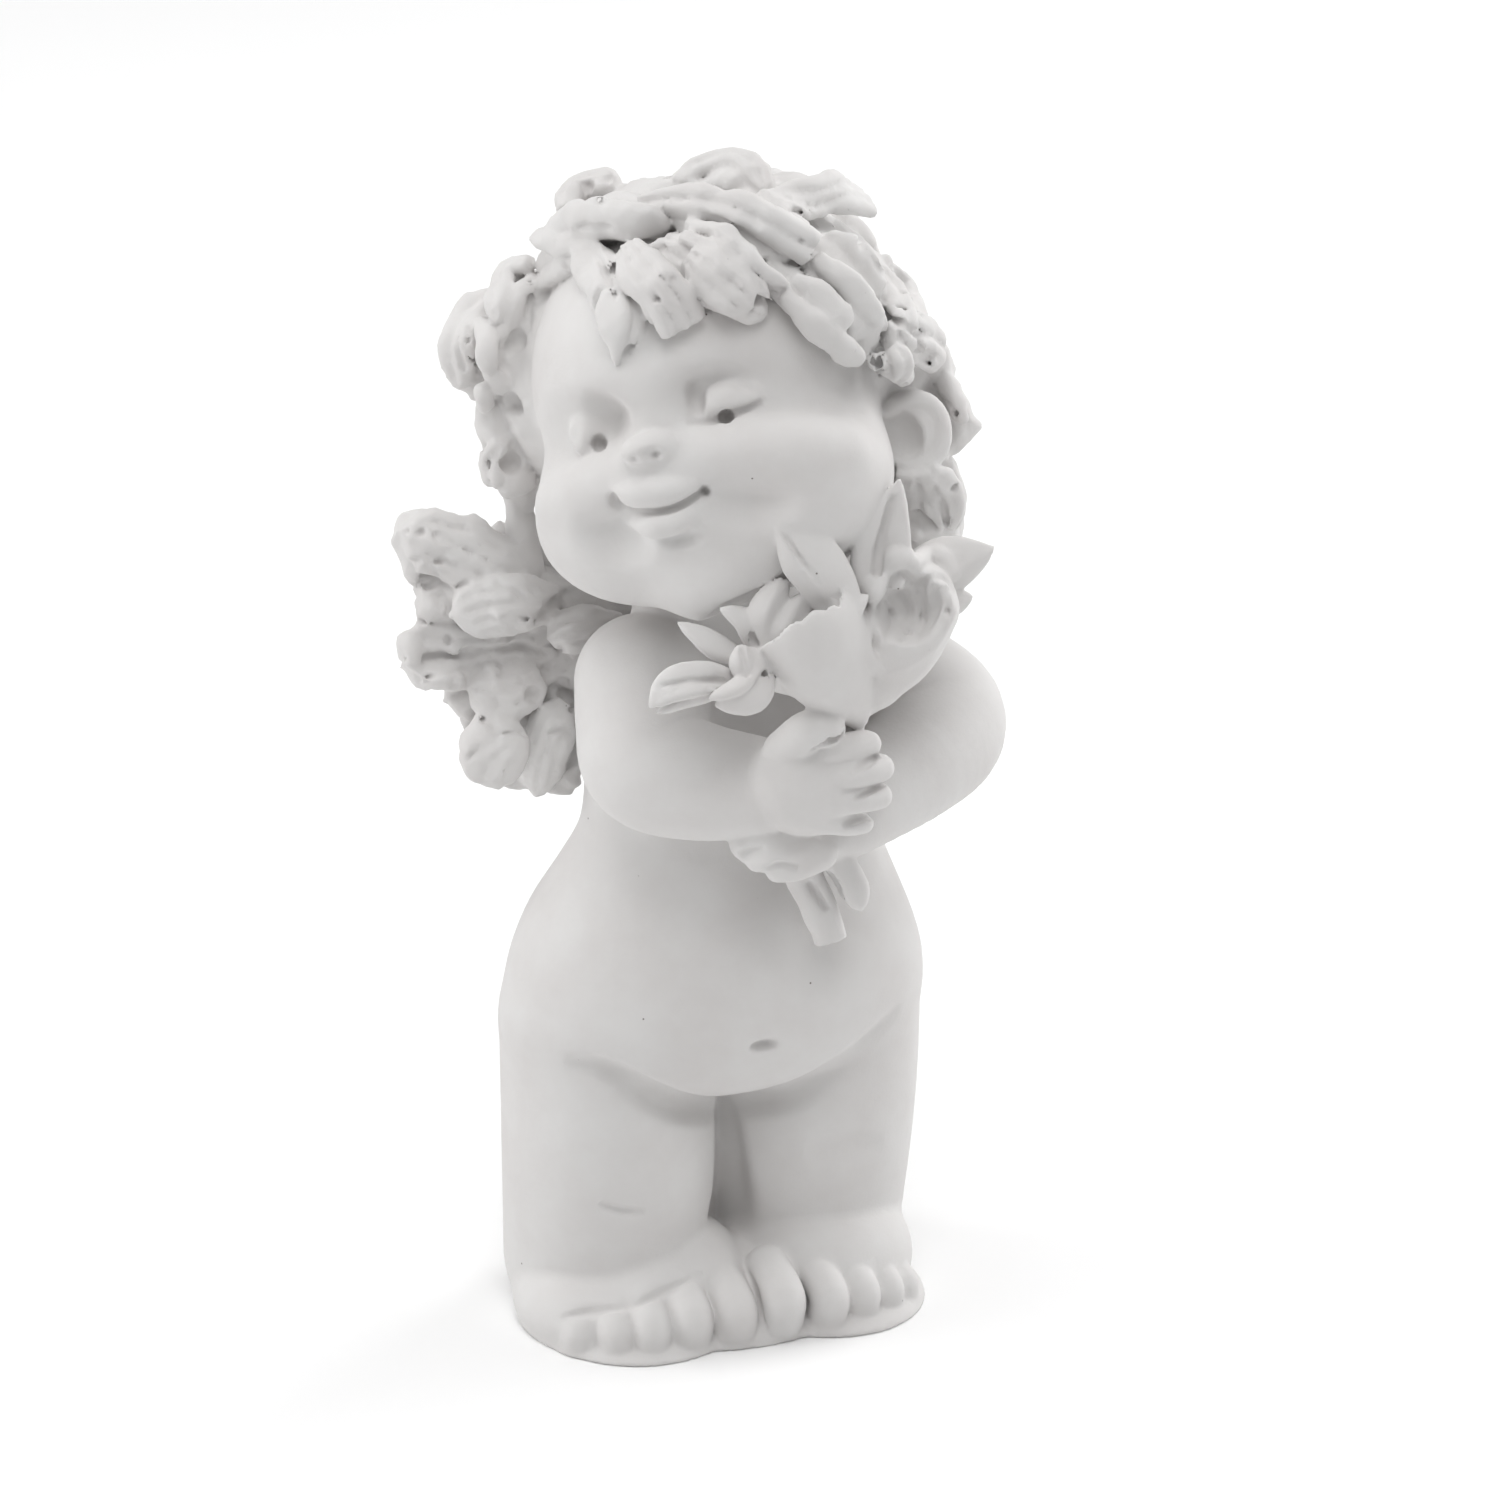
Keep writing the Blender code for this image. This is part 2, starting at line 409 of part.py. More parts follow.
def hair():
    """The mass of hair, its locks around the face and rows of plainer locks behind."""
    clay = bmesh.new()
    for centre, half_sizes in HAIR_MASS:
        ball(clay, centre, half_sizes, frame=HEAD)
    for course, half_width, half_thickness, ending in LOCKS:
        places = [scalp_place(*station) for station in course]
        blade(clay, places, half_width, half_thickness, ENDINGS[ending], out_of_scalp)
    for elevation, count, first, last, lift in BACK_ROWS:
        for lock in range(count):
            azimuth = first + (last - first) * lock / (count - 1)
            swing = BACK_LOCK_SWING * (-1) ** lock
            course = [(azimuth, elevation + BACK_LOCK_DROP / 2, lift / 2), (azimuth + swing, elevation, lift),
                      (azimuth + swing / 2, elevation - BACK_LOCK_DROP / 2, lift)]
            places = [scalp_place(*station) for station in course]
            blade(clay, places, BACK_LOCK_WIDTH, BACK_LOCK_THICKNESS, pointed_end, out_of_scalp)
    return clay


def wings():
    """Two spread wings of long feathers with shorter ones over their roots."""
    clay = bmesh.new()
    for across in (lambda place: place, mirrored):
        side = across((-1, 0))[0]
        for centre, half_sizes, turn in WING_PADS:
            ball(clay, across(centre), half_sizes, -turn * side)
        outward = Vector((side * 0.2, -1, 0))
        for feathers, thickness in ((LONG_FEATHERS, LONG_FEATHER_THICKNESS), (BACK_FEATHERS, SHORT_FEATHER_THICKNESS),
                                    (SHORT_FEATHERS, SHORT_FEATHER_THICKNESS)):
            for course, half_width in feathers:
                places = [across(place) for place in course]
                blade(clay, places, half_width, thickness, round_end, lambda spot: outward)
    return clay


def lilies():
    """Two trumpets with hollow mouths, a star of petals and the cut stems."""
    clay = bmesh.new()
    limb(clay, TRUMPET)
    limb(clay, BELL)
    clay = settle("trumpets", clay, FINE_CLAY, 2)
    hollows = bmesh.new()
    for centre, half_sizes in (TRUMPET_MOUTH, BELL_MOUTH):
        ball(hollows, centre, half_sizes)
    clay = carve("trumpets", clay, hollows)
    for centre, half_sizes in STAR_HEART:
        ball(clay, centre, half_sizes)
    for course in [STAR_NECK, BUD] + STEMS:
        limb(clay, course)
    for course, half_width in PETALS:
        blade(clay, course, half_width, PETAL_THICKNESS, petal_end, lambda spot: PETALS_FACE, PETAL_FOLD)
    return clay


def carve(name, clay, hollows):
    """Take the hollows out of the clay."""
    lump_mesh, hollow_mesh = bpy.data.meshes.new(name), bpy.data.meshes.new("hollows")
    clay.to_mesh(lump_mesh)
    clay.free()
    hollows.to_mesh(hollow_mesh)
    hollows.free()
    lump, tool = bpy.data.objects.new(name, lump_mesh), bpy.data.objects.new("hollows", hollow_mesh)
    for item in (lump, tool):
        bpy.context.scene.collection.objects.link(item)
    cut = lump.modifiers.new("Carve", "BOOLEAN")
    cut.operation, cut.solver, cut.object, cut.use_self = "DIFFERENCE", "EXACT", tool, True
    clay = worked(lump)
    bpy.data.objects.remove(tool)
    return clay


def face_hollows():
    """Eye slits, pupils, mouth line and ears."""
    clay = bmesh.new()
    limb(clay, MOUTH_LINE, HEAD)
    for across in (lambda place: place, mirrored):
        limb(clay, [across(station) for station in LID_LINE], HEAD)
        pupil = PUPIL_WIDTH / MODULE / 2
        ball(clay, across(PUPIL), (pupil, PUPIL_DEPTH, pupil), frame=HEAD)
        centre, half_sizes, turn = EAR_HOLLOW
        side = across((1, 0))[0]
        ball(clay, across(centre), half_sizes, turn * side, HEAD)
    return clay


def eye_sockets():
    """The two dents that the lids sit in."""
    clay = bmesh.new()
    for centre in (EYE_SOCKET[0], mirrored(EYE_SOCKET[0])):
        ball(clay, centre, EYE_SOCKET[1], frame=HEAD)
    return clay


def plaster():
    """Unglazed white plaster."""
    material = bpy.data.materials.new("plaster")
    material.use_nodes = True
    shader = material.node_tree.nodes["Principled BSDF"]
    shader.inputs["Base Color"].default_value = PLASTER_COLOUR
    shader.inputs["Roughness"].default_value = PLASTER_ROUGHNESS
    shader.inputs["Metallic"].default_value = 0.0
    return material


def flatten_underside(clay):
    """Cut the clay off level at the floor."""
    everything = clay.verts[:] + clay.edges[:] + clay.faces[:]
    cut = bmesh.ops.bisect_plane(clay, geom=everything, dist=1e-5, plane_co=(0, 0, 0), plane_no=(0, 0, 1),
                                 clear_inner=True)
    rim = [item for item in cut["geom_cut"] if isinstance(item, bmesh.types.BMEdge)]
    bmesh.ops.contextual_create(clay, geom=rim)
    bmesh.ops.triangulate(clay, faces=clay.faces[:])
    bmesh.ops.recalc_face_normals(clay, faces=clay.faces[:])


def thinned(clay):
    """The clay with as few facets as its form allows."""
    bmesh.ops.triangulate(clay, faces=clay.faces[:])
    mesh = bpy.data.meshes.new("thinned")
    clay.to_mesh(mesh)
    clay.free()
    lump = bpy.data.objects.new("thinned", mesh)
    bpy.context.scene.collection.objects.link(lump)
    lump.modifiers.new("Thin", "DECIMATE").ratio = TRIANGLE_LIMIT / len(mesh.polygons)
    return worked(lump)


def stand(clay):
    """Move the clay so that the origin is on the floor under the middle of its outline."""
    low = Vector([min(vertex.co[axis] for vertex in clay.verts) for axis in range(3)])
    high = Vector([max(vertex.co[axis] for vertex in clay.verts) for axis in range(3)])
    middle = (low + high) / 2
    bmesh.ops.translate(clay, vec=(-middle.x, -middle.y, -low.z), verts=clay.verts[:])


def figurine():
    """The whole casting as one object that stands on the floor at the origin."""
    clay = bmesh.new()
    for lump in (trunk(), feet(), arms(), hands(), head(), hair(), wings(), lilies()):
        add_clay(clay, lump)
    clay = thinned(settle("figurine", clay, FINE_CLAY, 1))
    flatten_underside(clay)
    stand(clay)
    mesh = bpy.data.meshes.new("angel_figurine")
    clay.to_mesh(mesh)
    clay.free()
    mesh.materials.append(plaster())
    angel = bpy.data.objects.new("angel_figurine", mesh)
    collection = bpy.data.collections.new("angel figurine")
    bpy.context.scene.collection.children.link(collection)
    collection.objects.link(angel)


for item in list(bpy.data.objects):
    bpy.data.objects.remove(item)
figurine()
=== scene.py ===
"""Looks of the cherub figurine: one plaster casting, worked finely over the form of its solid."""
import json
import math
from itertools import product

import bmesh
import bpy
import numpy as np
from mathutils import Matrix, Vector

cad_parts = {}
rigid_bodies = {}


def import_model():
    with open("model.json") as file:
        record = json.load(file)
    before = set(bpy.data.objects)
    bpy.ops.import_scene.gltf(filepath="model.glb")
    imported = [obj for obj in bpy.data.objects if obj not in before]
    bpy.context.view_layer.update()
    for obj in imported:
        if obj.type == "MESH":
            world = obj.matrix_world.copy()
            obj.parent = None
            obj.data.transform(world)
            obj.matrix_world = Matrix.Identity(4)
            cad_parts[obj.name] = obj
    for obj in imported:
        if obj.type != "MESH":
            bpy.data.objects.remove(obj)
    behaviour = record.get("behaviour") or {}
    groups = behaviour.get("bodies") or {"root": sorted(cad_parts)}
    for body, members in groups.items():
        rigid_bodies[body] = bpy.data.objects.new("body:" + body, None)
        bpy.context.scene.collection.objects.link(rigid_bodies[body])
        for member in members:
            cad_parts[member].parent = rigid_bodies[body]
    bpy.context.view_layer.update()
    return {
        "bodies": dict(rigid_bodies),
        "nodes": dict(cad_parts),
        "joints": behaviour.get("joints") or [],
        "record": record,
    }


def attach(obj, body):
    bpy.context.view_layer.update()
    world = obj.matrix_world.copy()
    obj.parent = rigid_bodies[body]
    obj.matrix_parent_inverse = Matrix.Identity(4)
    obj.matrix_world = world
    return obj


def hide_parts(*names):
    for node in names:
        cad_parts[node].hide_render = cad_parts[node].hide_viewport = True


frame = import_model()

# The figure's places and sizes are in modules, a share of its height, in a frame beside the part's own origin
HEIGHT = 0.120
MODULE = HEIGHT / 119.44
SHIFT = (-0.285, 2.541, 0.0)

# How finely the clay is worked, in modules, and the facets that the skin keeps
STEP = 0.25
TRIANGLE_LIMIT = 190000
# The greatest distance that the clay holds, how far round a form it is pressed, and the rings of a soft curve
FAR, MARGIN, SAMPLES_PER_SPAN = 6.0, 1.5, 6
# How far a line of sight is followed before and behind the aim, in which steps, and how far out a slope is felt
SIGHT_REACH, SIGHT_STEP, FEELER = 70, 0.1, 0.8
# Guards against dividing by nothing, and just inside an upper limit
TINY, LEAST_WAY, JUST_INSIDE = 1e-6, 0.01, 0.001
# The share of its size with which a groove starts and ends
TAPER = 0.4

# Locks, feathers and petals: least half width, thickness left at a tip, least slope, waves of a ragged edge
THINNEST, TIP_THICKNESS, LEAST_SLOPE, RAGGED_WAVES = 0.12, 0.25, 0.05, 23.0
# Their widths: share at the root and how fast it grows, then how broad or how drawn out the tips are
ROOT_WIDTH, ROOT_GROWTH, ROUND_TIP, FEATHER_TIP = 0.5, 1.6, 5.0, 3.8
POINT_ROOT, POINT_WIDTH, POINT_DRAW = 0.55, 1.4, 0.6
PETAL_START, PETAL_FULLNESS = 0.12, 0.75

# How softly each form joins the clay or is cut from it
BLENDS = {"leg": 0.6, "seat": 1.5, "trunk": 0.9, "navel": 0.5, "leg gap": 2.2, "instep": 2.0, "toe": 0.35,
          "sole": 0.5, "toe crease": 0.3, "arm": 1.0, "stem": 0.3, "left palm": 0.6, "left finger": 0.5,
          "right palm": 2.0, "right finger": 0.45, "hand over hand": 0.3, "skull": 1.0, "jaw": 5.0, "cheek": 4.0,
          "chin": 4.0, "muzzle": 3.0, "eye socket": 1.6, "under chin": 0.8, "trough": 2.0, "ear": 0.6,
          "ear hollow": 0.5, "ear rim": 0.3, "hair mass": 2.0, "tress": 0.5, "hair end": 1.0, "back lock": 0.25,
          "hair over face": 0.3, "lock": 0.28, "gap": 0.15, "strand": 0.2, "pit": 0.25, "wing pad": 1.0,
          "feather": 0.3, "wing lobe": 1.4, "short feather": 0.4, "trumpet": 0.3, "trumpet rim": 0.2,
          "bell": 0.5, "bell mouth": 0.3, "star heart": 0.6, "bud": 0.25, "petal": 0.25, "bell pit": 0.15}
# The blocks of clay, lowest and highest corner, and how softly each joins the casting
CASTING = ((-36, -36, -4), (38, 26, 126))
BLOCKS = {"trunk": ((-26, -20, -4), (26, 20, 84), 0.5), "feet": ((-26, -26, -4), (26, 20, 14), 0.8),
          "wings": ((-34, 2, 46), (34, 20, 90), 0.6), "arms": ((-20, -26, 46), (34, 10, 78), 0.8),
          "head": ((-30, -34, 68), (32, 24, 123), 0.6), "hair": ((-34, -36, 66), (36, 26, 123), 0.25),
          "lilies": ((-20, -36, 60), (28, -6, 96), 0.35), "hands": ((-12, -30, 36), (22, -8, 76), 0.6)}
# Unevenness of the surface: size and depth of its lumps, and their seed
HAIR_LUMPS = ((1.7, 0.26, 3), (0.8, 0.12, 4))
WING_LUMPS = ((1.7, 0.28, 5), (0.8, 0.17, 6))
LILY_LUMPS = (1.6, 0.1, 7)

# Trunk: level sections from the seat up to the neck, each a centre, a half width and a half depth, then by pixel
# of the photograph the knee dimples and the belly's fold, and the gap between the legs with its nearness
TRUNK = [
    ((-0.5, 1.0, 23.4), 12.0, 8.0), ((-0.9, 0.6, 25.8), 18.6, 12.2), ((-0.5, 0.2, 28.2), 21.0, 14.4),
    ((-0.4, -0.3, 31.8), 22.0, 15.5), ((-0.2, -0.6, 35.4), 21.7, 15.7), ((-0.2, -0.6, 39.0), 20.8, 15.1),
    ((0.0, -0.4, 43.0), 19.1, 14.1), ((0.8, 0.0, 47.0), 16.8, 13.0), ((1.4, 0.0, 51.0), 15.1, 12.0),
    ((1.4, 0.0, 56.0), 14.5, 11.3), ((1.3, 1.0, 62.0), 14.4, 9.6), ((2.0, 2.0, 67.0), 12.8, 7.4),
    ((1.6, 1.6, 72.0), 9.6, 6.2), ((0.6, 0.0, 80.0), 8.0, 6.4)]
NAVEL = ((-0.4, -16.5, 32.6), (1.7, 1.7, 0.75))
KNEES = [
    ([(604, 1206, 0.4, 0.3), (622, 1212, 0.55, 0.5), (640, 1212, 0.4, 0.3)], 0.3),
    ([(818, 1152, 1.6, 0.3), (846, 1148, 1.9, 0.5), (874, 1146, 1.6, 0.3)], 0.8)]
BELLY_FOLD = [
    ([(576, 1064, 1.0, 0.4), (604, 1070, 1.5, 1.2), (640, 1088, 1.8, 1.5), (680, 1101, 1.9, 1.3),
      (712, 1106, 1.6, 0.8)], 0.9),
    ([(745, 1098, 1.6, 0.5), (790, 1088, 1.9, 0.6), (840, 1062, 1.9, 0.7), (876, 1034, 1.5, 0.7),
      (892, 1018, 1.0, 0.3)], 1.2)]
LEG_GAP = [
    (722, 1116, -8.4, 0.8), (726, 1145, -9.4, 1.2), (727, 1180, -10.8, 1.8), (722, 1208, -11.6, 2.4),
    (716, 1226, -12.2, 2.2)]

# Limbs: x, y, z and radius from one end to the other
RIGHT_LEG = [(-11.3, 0.4, 29.0, 10.9), (-11.3, -0.4, 16.0, 11.1), (-11.3, 0.2, 5.0, 10.9)]
LEFT_LEG = [(10.8, 0.4, 31.0, 11.0), (10.4, 0.2, 24.0, 11.2), (9.8, -0.4, 16.0, 11.0), (9.7, 0.4, 5.0, 10.2)]
SEATS = [((-9.6, 5.6, 26.0), (10.4, 10.0, 10.6)), ((8.4, 5.6, 26.0), (10.4, 10.0, 10.6))]
RIGHT_ARM = [
    (-8.2, -2.5, 67.5, 6.8), (-9.4, -5.8, 64.4, 6.6), (-9.8, -9.0, 61.4, 6.4), (-6.0, -13.0, 60.6, 5.8),
    (-1.5, -16.6, 60.8, 4.9)]
LEFT_ARM = [
    (12.5, 0.0, 68.0, 6.3), (18.8, -2.5, 63.3, 6.9), (21.6, -5.5, 60.2, 7.1), (17.0, -11.0, 58.7, 5.9),
    (8.5, -15.5, 56.7, 4.8)]

# Feet: instep swellings with their turn, a toe's tip, radius and lean to the side, how far a toe reaches back, up
# and down, and how far its end stands back, creases over the toes by pixel of the photograph, and the sole
INSTEPS = [
    ((-15.0, -4.2, 2.0), (7.8, 9.8, 5.4), (0, 0, -14)), ((-10.0, -4.8, 3.0), (7.6, 9.8, 6.6), (0, 0, 0)),
    ((-4.6, -6.4, 3.4), (5.2, 7.6, 6.6), (0, 0, 0)), ((9.2, -5.2, 3.4), (9.9, 10.0, 7.6), (0, 0, 10)),
    ((-0.4, -8.0, 0.0), (5.0, 9.2, 6.0), (0, 0, 0))]
TOE_BACK, TOE_RISE, TOE_DROP, TOE_END = 4.5, 1.2, 2.4, 0.4
RIGHT_TOES = [
    (-3.4, -15.6, 3.9, 2.3, 0.0), (-8.0, -15.4, 3.7, 2.2, 0.0), (-12.1, -14.9, 3.2, 2.1, 0.05),
    (-15.3, -13.7, 2.7, 2.05, 0.14), (-18.6, -11.6, 2.1, 1.95, 0.3)]
LEFT_TOES = [
    (1.5, -16.1, 4.5, 2.35, 0.0), (6.5, -16.2, 4.0, 2.05, 0.05), (10.3, -15.5, 3.6, 1.85, 0.1),
    (13.5, -14.3, 2.9, 1.7, 0.15), (15.8, -12.8, 2.2, 1.6, 0.2)]
TOE_CREASES = [
    [(564, 1317), (590, 1312), (635, 1305), (660, 1294), (700, 1274)], [(748, 1272), (758, 1298), (765, 1326)]]
SOLE_PADS = [((-10.6, -5.0), (11.7, 13.0), -6), ((7.7, -5.2), (11.2, 14.0), 24), ((-0.8, -2.0), (18.0, 15.6), 0)]
TOE_CREASE_RADIUS, TOE_CREASE_DEPTH = 0.5, 0.4
SOLE_THICKNESS = 2.6

# Hands and stems by pixel of the photograph, each place with how near it stands to the camera
RIGHT_PALM = [((2.0, -19.8, 62.0), (5.4, 3.8, 5.0)), ((3.4, -20.4, 61.8), (4.2, 3.4, 4.6))]
RIGHT_THUMB = [(784, 750, 21.6, 2.0), (808, 731, 24.2, 2.0), (828, 729, 24.4, 1.7)]
RIGHT_FINGERS = [
    [(812, 758, 21.8, 1.5), (846, 747, 22.8, 1.4), (868, 744, 21.8, 1.3)],
    [(822, 776, 21.6, 1.6), (859, 772, 22.2, 1.45), (880, 768, 20.8, 1.4)],
    [(820, 800, 20.8, 1.6), (856, 800, 21.2, 1.35), (879, 796, 20.0, 1.3)],
    [(820, 820, 19.8, 1.4), (850, 824, 19.4, 1.15), (863, 823, 18.8, 1.05)]]
LEFT_PALM = ((2.4, -16.6, 55.0), (6.6, 3.6, 3.3))
LEFT_FINGERS = [
    [(800, 834, 16.6, 1.7), (768, 840, 17.4, 1.5), (746, 845, 16.8, 1.1)],
    [(808, 846, 16.4, 1.7), (778, 856, 17.2, 1.5), (757, 861, 16.6, 1.1)],
    [(820, 854, 15.8, 1.7), (795, 866, 16.2, 1.5), (778, 870, 16.0, 1.25)]]
HAND_GROOVES = [
    ([(814, 750, 0.4, 0.5), (830, 742, 0.5, 0.9), (844, 735, 0.5, 0.9)], 0.25),
    ([(855, 771, 0.4, 0.4), (866, 763, 0.5, 0.7), (877, 756, 0.4, 0.6)], 0.3),
    ([(856, 799, 0.3, 0.4), (872, 791, 0.35, 0.6), (887, 783, 0.3, 0.6)], 0.2),
    ([(846, 823, 0.4, 0.4), (860, 818, 0.5, 0.7), (874, 815, 0.4, 0.6)], 0.3),
    ([(742, 856, 0.4, 0.4), (750, 852, 0.45, 0.5), (762, 849, 0.3, 0.3)], 0.3),
    ([(768, 869, 0.35, 0.3), (780, 865, 0.45, 0.5), (794, 867, 0.35, 0.3)], 0.3)]
STEMS = [
    ([(798, 846, 13.4), (806, 876, 11.6), (820, 905, 10.4), (831, 941, 9.8)], 1.65, 1.4, "square"),
    ([(822, 832, 13.6), (832, 852, 12.4), (850, 880, 11.4), (862, 911, 10.8)], 1.55, 1.4, "round"),
    ([(786, 852, 13.2), (792, 880, 11.2), (806, 906, 10.4), (814, 934, 9.8)], 0.7, 1.0, "round")]
STEM_SQUARENESS = 2.6
STEM_GROOVES = [
    ([(810, 884, 0.35, 0.5), (818, 896, 0.4, 0.6), (826, 908, 0.3, 0.4)], 0.3),
    ([(830, 876, 0.5, 0.7), (838, 890, 0.5, 0.8), (845, 904, 0.4, 0.7)], 0.3)]

# Head: turned to its right and tilted, with places in the head's own frame from here on
HEAD = (Matrix.Translation((-0.5, -2.0, 95.4)) @ Matrix.Rotation(math.radians(-37.5), 4, "Z")
        @ Matrix.Rotation(math.radians(-18.0), 4, "Y"))
SKULL = ((0.0, 1.5, 3.0), (17.4, 18.0, 16.5))
JAW = ((0.2, -3.8, -8.2), (15.8, 13.1, 10.4))
CHEEK = ((9.3, -7.9, -7.1), (8.7, 8.0, 7.9))
CHIN = ((0.5, -11.8, -13.8), (5.8, 4.9, 4.4))
MUZZLE = ((-1.2, -13.6, -5.4), (6.6, 4.6, 4.6))
EYE_SOCKET = ((6.4, -19.5, 4.1), (4.5, 3.7, 3.3))
# Face by pixel of the photograph: swellings and hollows, each a place, half sizes across, up and out, a height
# or depth, a turn and how softly it joins, then ridges and grooves of places with a radius and a height or depth
FACE_RIDGES = [
    ([(546, 503, 3.2, 0.6), (590, 484, 3.2, 1.4), (640, 471, 2.6, 0.9), (690, 459, 2.8, 1.3),
      (740, 451, 3.4, 1.6), (800, 447, 3.6, 1.6), (850, 447, 3.0, 0.8)], 1.2),
    ([(617, 495, 0.9, 0.4), (638, 493, 1.5, 1.3), (665, 491, 1.5, 1.3), (696, 485, 0.9, 0.5)], 0.5),
    ([(632, 521, 0.9, 0.4), (650, 526, 1.2, 1.0), (672, 524, 1.2, 1.0), (692, 515, 0.9, 0.4)], 0.5)]
FACE_TROUGH = [
    (560, 436, 3.6, 0.5), (604, 420, 3.8, 1.0), (655, 412, 3.6, 0.6), (720, 392, 4.0, 1.2),
    (785, 388, 4.0, 0.9), (840, 396, 3.6, 0.4)]
FACE_SOCKETS = [
    ((600, 424), (3.0, 2.7, 2.4), 0.75, -10, 1.0), ((716, 396), (4.2, 2.7, 2.6), 1.1, 10, 0.9),
    ((601, 541), (4.4, 4.0, 4.0), 1.6, 0, 1.8), ((742, 506), (5.4, 3.0, 3.6), 1.1, 4, 1.6),
    ((677, 541), (2.6, 1.1, 2.0), 0.8, 12, 0.8)]
FACE_SWELLINGS = [
    ((589, 433), (2.0, 1.8, 1.8), 1.2, 0, 0.9), ((582, 448), (0.7, 0.6, 0.7), 0.4, 0, 0.3),
    ((731, 400), (3.3, 2.0, 2.2), 2.1, 12, 0.6), ((652, 450), (3.0, 1.8, 2.4), 2.2, 6, 0.6)]
FACE_HOLLOWS = [
    ((619, 424), (0.8, 1.6, 1.4), 0.35, -15, 0.5), ((696, 398), (0.9, 1.7, 1.4), 0.9, 10, 0.5),
    ((744, 384), (1.7, 0.7, 1.2), 0.5, -25, 0.5), ((651, 456), (2.0, 0.9, 1.6), 0.5, 8, 0.35),
    ((655, 455), (0.5, 0.5, 0.8), 0.45, 0, 0.2), ((634, 460), (0.45, 0.55, 0.8), 0.4, 30, 0.2),
    ((705, 491), (0.5, 0.55, 1.6), 1.1, 20, 0.4), ((618, 507), (0.8, 1.6, 1.5), 0.9, 12, 0.5),
    ((573, 431), (0.7, 1.2, 1.2), 0.35, 10, 0.4), ((599, 443), (0.82, 0.9, 1.8), 1.7, 0, 0.1),
    ((726, 417), (0.8, 0.82, 1.8), 1.7, 0, 0.1)]
FACE_GROOVES = [
    ([(616, 500, 0.45, 0.6), (628, 508, 0.5, 0.8), (645, 512, 0.5, 0.8), (662, 511, 0.5, 0.8),
      (682, 505, 0.5, 0.9), (703, 492, 0.5, 1.0)], 0.35),
    ([(693, 421, 0.4, 0.4), (712, 421, 0.5, 0.7), (724, 417, 0.5, 0.7), (740, 411, 0.5, 0.7),
      (759, 404, 0.4, 0.4)], 0.2)]
# Under the chin, and the ear with its hollow and its rim
UNDER_CHIN = ((754, 614, 25.0), (6.0, 2.3, 7.0), 25)
EAR = ((18.0, 2.3, -7.6), (3.5, 2.7, 4.3), 32)
EAR_HOLLOW = ((17.6, -0.6, -7.2), (2.2, 2.0, 2.7), 32)
EAR_RIM = [
    (889, 412, 0.8, 0.6), (903, 401, 0.9, 0.9), (925, 401, 0.9, 0.9), (939, 415, 0.9, 0.9),
    (943, 435, 0.9, 0.9), (937, 454, 0.9, 0.9), (920, 466, 0.9, 0.8), (903, 467, 0.8, 0.5)]

# Hair: swellings of the mass, ends that hang by pixel of the photograph with nearness and radius, then tresses
# by bearing and rise over the scalp with a lift off it, half width, half thickness and ending
HAIR_MASS = [
    ((-0.4, 4.8, 3.4), (18.7, 17.2, 16.6)), ((-16.0, 3.0, 4.6), (6.6, 8.0, 11.4)),
    ((13.0, 7.0, -1.0), (6.6, 8.0, 12.0)), ((0.0, 9.0, -8.0), (15.0, 11.0, 12.0))]
SCALP = ((0.0, 2.6, 3.0), (19.6, 18.6, 17.2))
HAIR_ENDS = [
    [(934, 470, 9.0, 2.2), (938, 500, 9.0, 2.6), (936, 540, 8.0, 2.6), (932, 575, 7.0, 2.0)],
    [(926, 394, 13.5, 2.4), (948, 410, 13.0, 2.2), (964, 421, 12.8, 1.2), (975, 424, 12.6, 0.4)],
    [(888, 342, 20.2, 1.6), (906, 347, 18.8, 2.3), (926, 357, 17.0, 2.4), (940, 370, 15.6, 1.6)],
    [(936, 440, 13.0, 2.0), (954, 436, 12.8, 1.7), (972, 427, 12.6, 0.6)],
    [(924, 474, 14.6, 2.8), (927, 505, 13.8, 3.2), (926, 540, 12.2, 3.2), (920, 575, 10.5, 2.4)],
    [(520, 480, 5.0, 1.7), (521, 520, 4.0, 1.5), (526, 570, 3.0, 1.9)]]
